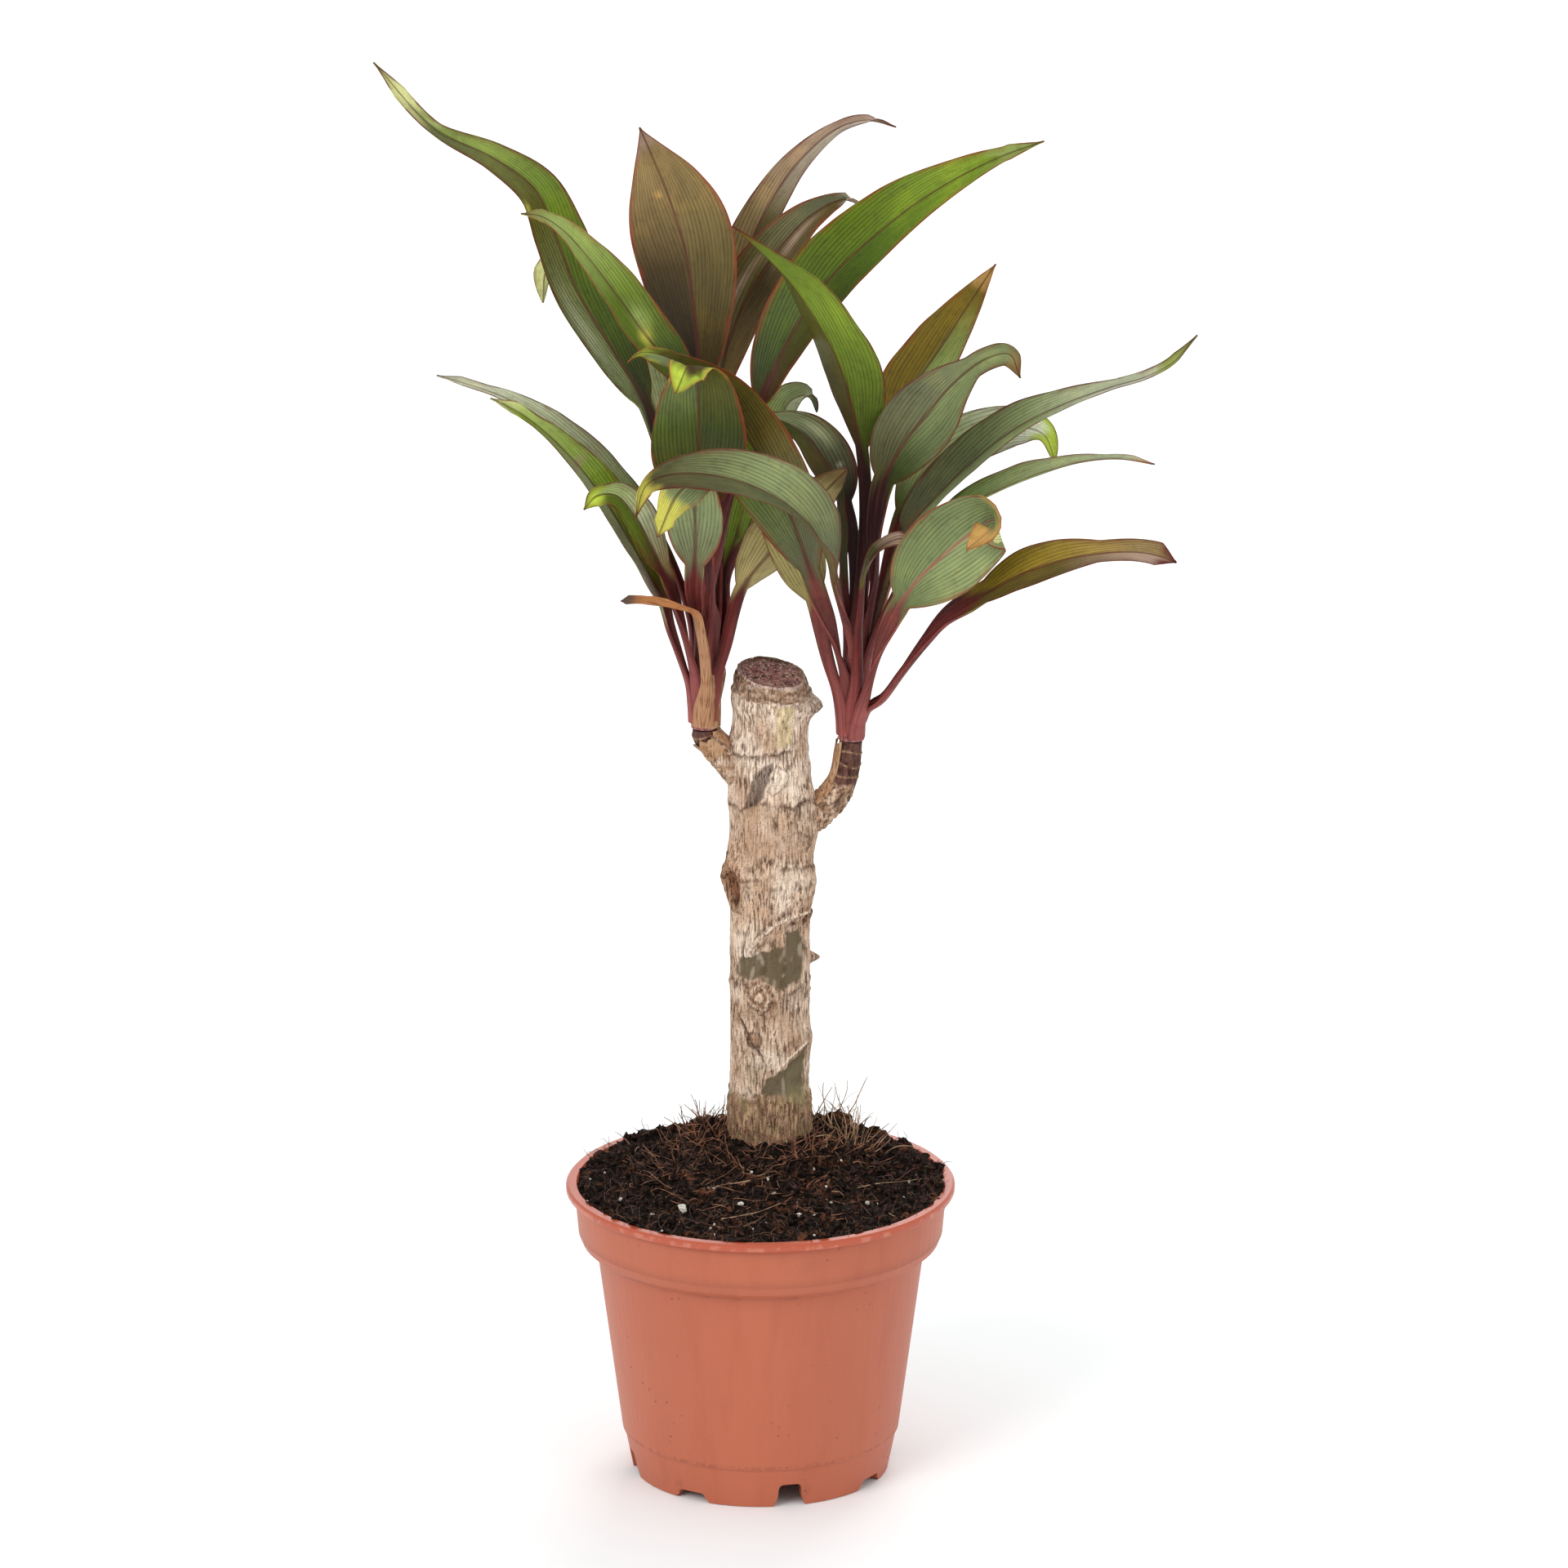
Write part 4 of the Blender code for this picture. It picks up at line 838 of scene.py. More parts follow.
def patch(corners, ragged):
    """How deep inside an outline of (degrees, height) each place is, in millimetres, 0 outside."""
    corners = np.array(corners, float)
    middle = corners.mean(axis=0)
    inside = np.full(degrees.shape, 1e9)
    across = np.radians(apart(degrees, middle[0])) * CANE_RADIUS
    around = np.radians(corners[:, 0] - middle[0]) * CANE_RADIUS
    for index in range(len(corners)):
        ax, ay = around[index - 1], corners[index - 1, 1]
        bx, by = around[index], corners[index, 1]
        cross = (bx - ax) * (level - ay) - (by - ay) * (across - ax)
        inside = np.minimum(inside, cross / math.hypot(bx - ax, by - ay))
    rough = rough_bark(2.4, 14) + 0.6 * rough_bark((0.8, 0.8, 1.6), 15)
    return np.clip(inside + ragged * rough, 0, None)


def ridge_line(points, wide):
    """1 on a line through (degrees, height) points, falling to 0 at so many millimetres from it."""
    points = np.array(points, float)
    middle = points[:, 0].mean()
    across = np.radians(apart(degrees, middle)) * CANE_RADIUS
    around = np.radians(points[:, 0] - middle) * CANE_RADIUS
    nearest = np.full(degrees.shape, 1e9)
    for (ax, ay), (bx, by) in zip(zip(around, points[:, 1]), zip(around[1:], points[1:, 1])):
        run_x, run_y = bx - ax, by - ay
        along = ((across - ax) * run_x + (level - ay) * run_y) / (run_x**2 + run_y**2)
        along = np.clip(along, 0, 1)
        nearest = np.minimum(nearest, np.hypot(across - ax - along * run_x, level - ay - along * run_y))
    return 1 - ease(nearest, 0.25 * wide, wide)


# %% Patches without bark
# Outlines in degrees and height, each convex and counter-clockwise.
GREEN_PATCHES = [
    [(285, 152), (327, 154.5), (332, 163), (318, 172), (291, 171.5)],
    [(256, 156), (286, 152), (299, 160), (292, 168), (258, 164.5)],
    [(206, 155.5), (262, 155.5), (270, 160), (262, 165.5), (222, 163)],
    [(256, 119), (286, 115), (333, 114), (333, 133), (307, 129.5), (262, 123)],
]
BROWN_MARK = [(226, 211), (253, 212), (264, 218), (275, 224), (275, 227), (256, 225), (240, 220)]
FLAP = [(264, 217), (272, 215.6), (297, 219), (299, 223), (276, 226)]
PEELING = [(275, 230), (304, 231), (308, 246), (273, 246)]
PEELED_GREEN = shade(90, 78, 54)
FIBRE_YELLOW = shade(204, 180, 132)

smooth = np.zeros(degrees.shape)
for corners in GREEN_PATCHES:
    inside = patch(corners, 1.0)
    bare = ease(inside, 0.0, 1.0)
    smooth = np.maximum(smooth, bare)
    relief = relief * (1 - 0.8 * bare) - 0.4 * bare
    stroke(PEELED_GREEN, 0.92 * bare)
    stroke(BARK_BROWN, 0.4 * bare * (1 - ease(inside, 0.5, 1.3)))
    stroke(BARK_PALE, 0.25 * bare * patchy((1.8, 1.8, 6.0), 22, 0.2, 0.5))
stroke(shade(112, 94, 84), 0.85 * ease(patch(BROWN_MARK, 0.5), 0.0, 0.7))
flap = patch(FLAP, 0.5)
relief += 0.5 * ease(flap, 0.0, 0.5)
stroke(BARK_PALE, 0.5 * ease(flap, 0.2, 0.9))
stroke(CRACK, 0.5 * ease(flap, 0.0, 0.2) * (1 - ease(flap, 0.3, 0.6)))
stroke(BARK_WARM, 0.55 * ease(1.0 - spot(255, 200, 8, 6) + 0.4 * rough_bark(2.5, 21), 0.0, 0.8))
peeling = ease(patch(PEELING, 0.6), 0.0, 0.8)
relief += peeling * (0.3 * rough_bark((0.7, 0.7, 9.0), 16))
stroke(FIBRE_YELLOW, 0.65 * peeling)
stroke(shade(158, 150, 96), 0.5 * peeling * patchy((1.2, 1.2, 6.0), 23, 0.1, 0.4))
print("bare share of the bark:", smooth.mean().round(3))

# %% Torn edges
# A pale torn edge of bark runs up above the big patch, with a brown painted shadow just above it, and a
# straw-like fibre over the low one.
torn_edge = ridge_line([(234, 163), (252, 169), (276, 174), (300, 176), (331, 176.5)], 0.8)
torn_edge_shadow = ridge_line([(236, 165), (252, 170.6), (276, 175.6), (300, 177.6), (331, 178)], 1.3)
relief += 0.9 * torn_edge
# A brown painted shadow just above the raised torn edge.
stroke(BARK_BROWN, 0.65 * torn_edge_shadow * patchy(1.5, 37, -0.3, 0.3))
stroke(BARK_PALE, 0.75 * torn_edge)
fibre_line = ridge_line([(281, 126), (301, 130), (332, 134)], 0.55)
relief += 0.6 * fibre_line
stroke(BARK_PALE, 0.95 * fibre_line)
print("torn edges cover", (np.maximum(torn_edge, fibre_line) > 0.5).mean().round(4), "of the bark")

# %% Knots and buds
swirl = spot(256, 150.5, 5.0, 5.4)
turns = np.sin(13.0 * swirl + 3.5 * rough_bark(2.4, 24))
in_swirl = 1 - ease(swirl + 0.4 * rough_bark(1.8, 38), 0.75, 1.15)
relief += 1.3 * np.exp(-(swirl**2)) + 0.45 * turns * in_swirl
stroke(BARK_WARM, 0.7 * in_swirl)
stroke(SCAR_LINE, 0.8 * ease(-turns, 0.2, 0.9) * in_swirl * patchy(1.1, 39, -0.3, 0.2))
stroke(BARK_PALE, 0.6 * ease(turns, 0.2, 0.9) * in_swirl)
small_knot = spot(247, 136, 2.2, 2.3)
relief += 1.0 * np.exp(-(small_knot**2)) - 0.6 * np.exp(-((small_knot * 3) ** 2))
stroke(BARK_WARM, 0.9 * (1 - ease(small_knot, 0.7, 1.2)))
stroke(CRACK, 0.7 * np.exp(-(((small_knot - 1.1) / 0.18) ** 2)))
split = ridge_line([(217, 143), (231, 139), (240, 136), (255, 131.5)], 0.7)
relief -= 0.5 * split
stroke(CRACK, 0.75 * split)
bud = spot(214, 185.0, 4.0, 8.2)
bud_rim = np.exp(-(((bud - 0.9) / 0.25) ** 2))
relief += 1.5 * bud_rim - 1.9 * (1 - ease(bud, 0.25, 0.8))
stroke(BARK_WARM, 0.9 * (1 - ease(bud, 0.9, 1.2)))
stroke(shade(120, 76, 52), 0.85 * (1 - ease(bud, 0.5, 0.85)))
stroke(shade(66, 40, 30), 0.85 * (1 - ease(spot(219, 181.5, 2.4, 4.6), 0.4, 1.0)))
thorn = spot(2, 159.5, 2.2, 2.6)
relief += 3.4 * (1 - ease(thorn, 0.0, 1.0))
side_bump = spot(338, 135.8, 3.0, 3.2)
relief += 0.8 * (1 - ease(side_bump, 0.2, 1.0))
knob = spot(350, 242.0, 3.0, 3.2)
relief += (1.0 + 1.8 * rough_bark(1.5, 15)) * (1 - ease(knob, 0.3, 1.2))
gnarl = spot(322, 200.0, 3.4, 4.2)
relief += (0.5 + 0.9 * rough_bark(1.2, 25)) * (1 - ease(gnarl, 0.4, 1.2))
for dark in (thorn, side_bump, knob, gnarl):
    stroke(BARK_BROWN, 0.6 * (1 - ease(dark, 0.4, 1.1)) * patchy(1.4, 26, -0.4, 0.3))
print("the thorn stands out", (relief * (thorn < 1)).max().round(1), "mm")

# %% The flaky ring and the mossy foot
RING_HEIGHT = 246.2
CUT_EDGE = (251.1, 251.5)
FOOT_HEIGHT = 116.5
PITH_PALE = shade(206, 182, 170)

ring_line = RING_HEIGHT + 0.8 * rough_bark((2.5, 2.5, 60.0), 17) + 0.5 * np.cos(np.radians(degrees - 310))
above = ease(level, ring_line - 0.3, ring_line + 0.4)
lip_band = np.exp(-(((level - ring_line) / 0.9) ** 2))
flakes = rough_bark((1.4, 1.4, 0.9), 18)
relief += 0.45 * lip_band * (1 + flakes) - 0.3 * above + 0.35 * above * flakes
stroke(BARK_WARM, 0.8 * above)
stroke(BARK_BROWN, (0.2 + 0.7 * ease(flakes, -0.1, 0.4)) * above)
stroke(BARK_PALE, 0.45 * above * patchy((3.0, 3.0, 1.0), 27, 0.15, 0.4))
# The top edge of the bark is painted paler towards the front: a painted highlight where the light catches the
# rim.
stroke(PITH_PALE, 0.85 * ease(level, *CUT_EDGE) * (0.5 - 0.5 * np.sin(np.radians(degrees))))
foot_line = FOOT_HEIGHT + 3.0 * rough_bark((4.0, 4.0, 60.0), 28)
foot = 1 - ease(level, foot_line - 1.0, foot_line + 1.0)
relief += foot * (0.5 + 0.8 * rough_bark((1.6, 1.6, 4.0), 29))
stroke(BARK_WARM, 0.9 * foot)
stroke(BARK_BROWN, 0.25 * foot)
stroke(FIBRE_YELLOW, 0.5 * foot * patchy((0.8, 0.8, 6.0), 40, 0.0, 0.3))
stroke(BARK_BROWN, foot * 0.65 * patchy((1.0, 1.0, 5.0), 35, -0.15, 0.3))
damp = patchy(7.0, 19, 0.0, 0.4) * (1 - ease(level, 116.0, 136.0))
stroke(shade(140, 132, 92), 0.5 * damp)
print("bark relief now", relief.min().round(2), "to", relief.max().round(2))

# %% [markdown]
# ### The finish of the bark
# Between these features the bark is finely grooved, scratched and flecked with dark dots, all of it
# too small to push the grid for. A photographed texture could show it, but only on the side that was
# photographed. Here noise drawn out along the cane makes the grooves, and each kind of mark multiplies
# the tint that is painted on the mesh, so that it shows on pale and on brown bark alike.

# %% Bark finish
# Each of these multiplies the painted tint: above 1 is lighter, below 1 darker.
GROOVE_SHADE = (0.52, 0.45, 0.38, 1)
FIBRE_LIGHT = (1.30, 1.29, 1.27, 1)
SCRATCH_SHADE = (0.36, 0.27, 0.21, 1)
GRIT_SHADE = (0.66, 0.60, 0.55, 1)

bark = Finish("bark", Roughness=0.88, Specular_IOR_Level=0.2)
fibre = bark.place.drawn_out(1, 1, 0.13).noise(1500.0, 5.0)
flecks = bark.place.drawn_out(1, 1, 0.12).noise(1700.0, 3.0)
rough = 1 - bark.fact("smooth") * 0.85
grit = bark.place.noise(1500.0, 4.0)
where = bark.place.noise(140.0, 2.0).step(0.38, 0.6)
dots = 1 - bark.place.drawn_out(1, 1, 0.5).specks(420.0).step(0.06, 0.18)
dots = dots * bark.place.noise(150.0).step(0.48, 0.6)
scratch = flecks.step(0.54, 0.62) * (where * 0.75 + 0.25) * rough
coat = bark.layered(
    bark.fact("tint", "Color"),
    (GROOVE_SHADE, fibre.step(0.5, 0.68) * rough * 0.7, "MULTIPLY"),
    (FIBRE_LIGHT, fibre.step(0.5, 0.36) * rough * 0.7, "MULTIPLY"),
    (SCRATCH_SHADE, scratch * 0.9, "MULTIPLY"),
    (GRIT_SHADE, grit.step(0.5, 0.66) * rough * 0.8, "MULTIPLY"),
    (CRACK, dots * rough * 0.7),
)
bark_normal = bark.bump(fibre * 0.6 + grit * 0.6 - dots * 0.4 - scratch * 0.7, 0.9)
bark.wear(Base_Color=coat, Roughness=0.78 + grit * 0.2, Normal=bark_normal)


# %% Cane surface
def cane_points(level, degrees, radius):
    """Places round the cane's leaning axis. Near the top they follow the slope of the saw cut."""
    x = radius * np.cos(np.radians(degrees))
    y = radius * np.sin(np.radians(degrees))
    slope = ease(level, 236.0, CANE_TOP) * (TOP_SLOPE_BACK * y + TOP_SLOPE_RIGHT * x)
    height = level + slope
    return np.stack([CANE_X + CANE_LEAN * (height - CANE_LEAN_FROM) + x, CANE_Y + y, height], axis=-1)


CUT_RINGS = 40
PITH = shade(150, 104, 94)

side = cane_points(level, degrees, radius + relief)
inward = np.linspace(1, 0.02, CUT_RINGS)[:, None] + np.zeros((1, ROUND))
cut_degrees = np.broadcast_to(degrees[0], (CUT_RINGS, ROUND))
cut_radius = (radius + relief)[-1] * inward
cut_x = cut_radius * np.cos(np.radians(cut_degrees))
cut_y = cut_radius * np.sin(np.radians(cut_degrees))
cut_place = np.stack([cut_x, cut_y, np.zeros_like(cut_x)], axis=-1)
front = 0.5 - 0.5 * np.sin(np.radians(cut_degrees))
rough = 0.35 * lumps(cut_place, 0.9, 30) + 0.5 * lumps(cut_place, 2.5, 31)
ragged_rim = ease(inward, 0.88, 0.98) * np.clip(lumps(cut_place, 1.6, 32), -0.3, 1) * (1.3 - front)
cut_level = CANE_TOP - 0.4 + rough * ease(inward, 1.0, 0.9) + ragged_rim
cut_tint = painted(
    np.broadcast_to(PITH, cut_radius.shape + (4,)),
    (PITH_PALE, ease(lumps(cut_place, 0.6, 33), 0.12, 0.4) * 0.8),
    (shade(52, 30, 28), ease(lumps(cut_place, 0.7, 34), 0.05, 0.35) * 0.85),
    (shade(128, 62, 66), 0.5 * ease(lumps(cut_place, 3.0, 36), 0.0, 0.4) * ease(inward, 0.8, 0.5)),
    # The rim of the cut is painted paler along its front, a painted highlight, and browner along its back,
    # painted shade.
    (PITH_PALE, ease(inward, 0.88, 0.96) * front * 0.9),
    (BARK_BROWN, ease(inward, 0.86, 0.94) * (1 - front) * 0.9),
)
top = cane_points(cut_level, cut_degrees, cut_radius)
top[0] = side[-1]
points = np.concatenate([side.reshape(-1, 3), top[1:].reshape(-1, 3)])
rows = LEVELS + CUT_RINGS - 1
faces = grid_faces(rows, ROUND, closed=True)
faces += [list(range(ROUND))[::-1], list(range((rows - 1) * ROUND, rows * ROUND))]
tints = np.concatenate([tint.reshape(-1, 4), cut_tint[1:].reshape(-1, 4)])
bareness = np.concatenate([smooth.ravel(), np.zeros((CUT_RINGS - 1) * ROUND)])
add_piece("cane_bark", points, faces, bark.material, ["cane"], {"tint": tints, "smooth": bareness})

# %% [markdown]
# ## The side branches
# Two dormant buds of the cane have grown out as short woody stubs, which the soft shoots stand on. The
# left one is pale and wrapped in dry fibre, and the right one is brown with thin pale rings. Each is a
# bent tube that starts inside the bark.

# %% The way of the stubs and stems
LEFT_STUB = [(-3.0, 20.0, 217.0), (-8.5, 19.5, 223.0), (-12.3, 19.0, 227.0), (-15.0, 18.5, 230.0),
             (-17.1, 18.0, 232.0), (-17.3, 18.0, 234.2)]
LEFT_STUB_RADII = [6.0, 5.6, 4.9, 4.3, 3.8, 3.6]
RIGHT_STUB = [(8.0, 20.0, 203.5), (15.5, 20.0, 206.0), (21.0, 20.0, 210.0), (24.6, 20.0, 215.0),
              (26.8, 20.0, 221.5), (28.0, 20.0, 230.0)]
RIGHT_STUB_RADII = [6.4, 5.8, 5.0, 4.4, 4.0, 3.5]
LEFT_STEM = [(-17.3, 18.0, 234.8), (-17.0, 18.2, 245.0), (-16.4, 18.6, 256.0), (-15.8, 19.0, 266.0)]
RIGHT_STEM = [(28.0, 20.0, 230.5), (28.3, 20.0, 240.0), (28.8, 20.2, 250.0), (29.4, 20.4, 260.0)]
STEM_RADII = [3.4, 2.8, 1.9, 0.8]
print("stub radii from", max(RIGHT_STUB_RADII), "to", min(RIGHT_STUB_RADII))

# %% Stubs
ROUTE_STEPS = 24  # from one point of a route to the next
STUB_SIDES = 60
STUB_ROWS = 90
STEM_BROWN = shade(98, 66, 58)
SHEATH_TAN = shade(176, 140, 108)


def resampled(points, values, count):
    """A smooth path through points at even steps, and the values along it."""
    curve = spline(points, ROUTE_STEPS)
    length = run_along(curve)
    steps = np.linspace(0, length[-1], count)
    marks = np.interp(np.arange(len(values)) * ROUTE_STEPS, np.arange(len(curve)), length)
    return read_off(steps, length, curve), np.interp(steps, marks, values), steps / length[-1]


def make_stub(name, route, radii, rings, dark_from, rough, seed):
    """A woody stub: rough bark below, and above dark_from smooth brown stem with pale rings."""
    path, radius, share = resampled(route, radii, STUB_ROWS)
    turn = np.linspace(0, 2 * math.pi, STUB_SIDES, endpoint=False)
    first = np.stack([np.cos(turn), np.sin(turn), 0 * turn], axis=-1)[None] * radius[:, None, None]
    around = first + np.stack([0 * share, 0 * share, share * 40], axis=-1)[:, None, :]
    woody = 1 - ease(share[:, None] + 0.06 * lumps(around, 3.0, seed), dark_from - 0.03, dark_from + 0.03)
    coarse = lumps(around, (1.8, 1.8, 3.0), seed + 1)
    bulge = woody * rough * (0.6 * coarse + 0.45 * lumps(around, 0.9, seed + 2))
    tint = painted(
        np.broadcast_to(BARK, around.shape[:2] + (4,)),
        (BARK_WARM, ease(lumps(around, 3.0, seed + 3), -0.3, 0.3) * 0.8),
        (BARK_BROWN, rough * 0.5 * ease(coarse, 0.1, -0.3)),
        (CRACK, ease(lumps(around, (0.9, 0.9, 2.0), seed + 4), 0.1, 0.4) * 0.5 * rough),
        (STEM_BROWN, 1 - woody),
    )
    for ring in rings:
        wander = share[:, None] + 0.012 * np.sin(np.linspace(0, 4 * math.pi, STUB_SIDES) + ring * 40)[None, :]
        near = np.exp(-(((wander - ring) / 0.007) ** 2))
        bulge = bulge + 0.3 * near
        tint = painted(tint, (SHEATH_TAN, 0.9 * near))
    points, faces = tube(path, radius[:, None] + bulge, STUB_SIDES)
    add_piece(name, points, faces, bark.material, (), {"tint": tint.reshape(-1, 4)})


make_stub("stub_left", LEFT_STUB, LEFT_STUB_RADII, [0.93], 0.86, 0.7, 40)
make_stub("stub_right", RIGHT_STUB, RIGHT_STUB_RADII, [0.70, 0.80, 0.91], 0.62, 1.3, 50)

# %% [markdown]
# ### Dry sheaths
# Each stub still wears shreds of the sheaths of leaves that fell long ago: tan paper with brown lines,
# torn along its top and standing a little off the wood. Each is a curved sheet with a real thickness.

# %% Sheath scraps
SCRAP_ROWS = 40
SCRAP_COLUMNS = 30
PAPER_THICKNESS = 0.3

paper = Finish("dry_sheath", Roughness=0.8, Specular_IOR_Level=0.25)
grain_lines = paper.place.drawn_out(1, 1, 0.15).noise(1400.0, 4.0)
blotch = paper.place.noise(320.0, 4.0)
tone = paper.layered(
    SHEATH_TAN,
    (shade(112, 76, 52), grain_lines.step(0.48, 0.64)),
    (shade(150, 106, 72), blotch.step(0.42, 0.62) * 0.7),
)
paper.wear(Base_Color=tone, Normal=paper.bump(grain_lines, 0.35))


def sheath_scrap(name, route, radii, along, around, lift, seed):
    """A torn curved sheet off a route: where along it, between which degrees round it, and how far off."""
    path, radius, share = resampled(route, radii, 80)
    _, first, second = ring_frames(path)
    turn = np.linspace(*np.radians(around), SCRAP_COLUMNS)[None, :] + np.zeros((SCRAP_ROWS, 1))
    climb = np.linspace(0, 1, SCRAP_ROWS)[:, None]
    flat = np.stack([turn * 4.0, climb * 12.0 + 0 * turn, 0 * turn], axis=-1)
    torn = 0.22 * lumps(flat[-1:], (1.5, 9.0, 9.0), seed)
    place = along[0] + (along[1] - along[0]) * climb * (1 + torn)
    wave = lumps(flat, (2.0, 5.0, 9.0), seed + 1)
    off = np.interp(place, share, radius) + lift * (0.35 + 0.65 * climb**2) * (1 + 0.8 * wave)
    middle, ahead, aside = (read_off(place, share, values) for values in (path, first, second))
    out = np.cos(turn)[..., None] * ahead + np.sin(turn)[..., None] * aside
    sheets = [middle + out * distance[..., None] for distance in (off, off - PAPER_THICKNESS)]
    points, faces = shell(*sheets)
    add_piece(name, points, faces, paper.material, sharp=70)


sheath_scrap("sheath_left_cuff", LEFT_STUB, LEFT_STUB_RADII, (0.62, 0.90), (185, 300), 0.9, 70)
sheath_scrap("sheath_left_shred", LEFT_STUB, LEFT_STUB_RADII, (0.62, 1.0), (-50, 40), 1.2, 72)
sheath_scrap("sheath_left_high", LEFT_STEM, [4.4, 4.6, 4.6, 4.6], (0.02, 0.58), (-75, 20), 1.2, 74)
sheath_scrap("sheath_right_long", RIGHT_STUB, RIGHT_STUB_RADII, (0.45, 0.99), (60, 140), 1.3, 76)
sheath_scrap("sheath_right_low", RIGHT_STUB, RIGHT_STUB_RADII, (0.34, 0.60), (80, 150), 0.8, 78)

# %% [markdown]
# ## The soft stems
# Each shoot has a short fleshy stem, rosy where it leaves the wood, that the leaf stalks wrap round. It
# shows only between them, so a plain tapered tube with the stalks' colour is enough.

# %% Stems
STEM_ROSE = shade(158, 92, 88)
STEM_MAROON = shade(104, 48, 46)

flesh = Finish("shoot_flesh", Roughness=0.45)
streak = flesh.place.drawn_out(1, 1, 0.1).noise(900.0, 3.0)
tone = flesh.mix(STEM_MAROON, STEM_ROSE, streak.step(0.35, 0.65))
flesh.wear(Base_Color=tone, Normal=flesh.bump(streak, 0.15))
for name, route in (("stem_left", LEFT_STEM), ("stem_right", RIGHT_STEM)):
    path, radius, share = resampled(route, [value + 0.7 for value in STEM_RADII], 24)
    points, faces = tube(path, radius, 24)
    add_piece(name + "_flesh", points, faces, flesh.material, [name])

# %% [markdown]
# ## The leaves
# A ti leaf has a channelled stalk that clasps the stem and opens into a long blade, with a midrib, fine
# side veins that leave it at a narrow angle, and a thin red margin. Every leaf follows the same route as
# its CAD solid, but has a finer skin: its section is an arc in the stalk and a shallow valley in the
# blade. A plane bent along a curve by a modifier would do for one leaf, but thirty of them, each turned
# and folded its own way, are easier to hold in a table. The fields are those of the CAD part: ring says
# how far the stalk stands from the crown's middle, up and around where it leaves the stem, path is the
# midrib in millimetres, blade the path's point where the blade starts, turn and fold set how it lies,
# and widest, base and point set where the blade is widest and how blunt its two ends are. heading is
# for a leaf whose path alone does not say which way it faces, and clasp, stalk_top and stalk_thick are
# for a stalk whose foot, top or thickness is not the usual one.

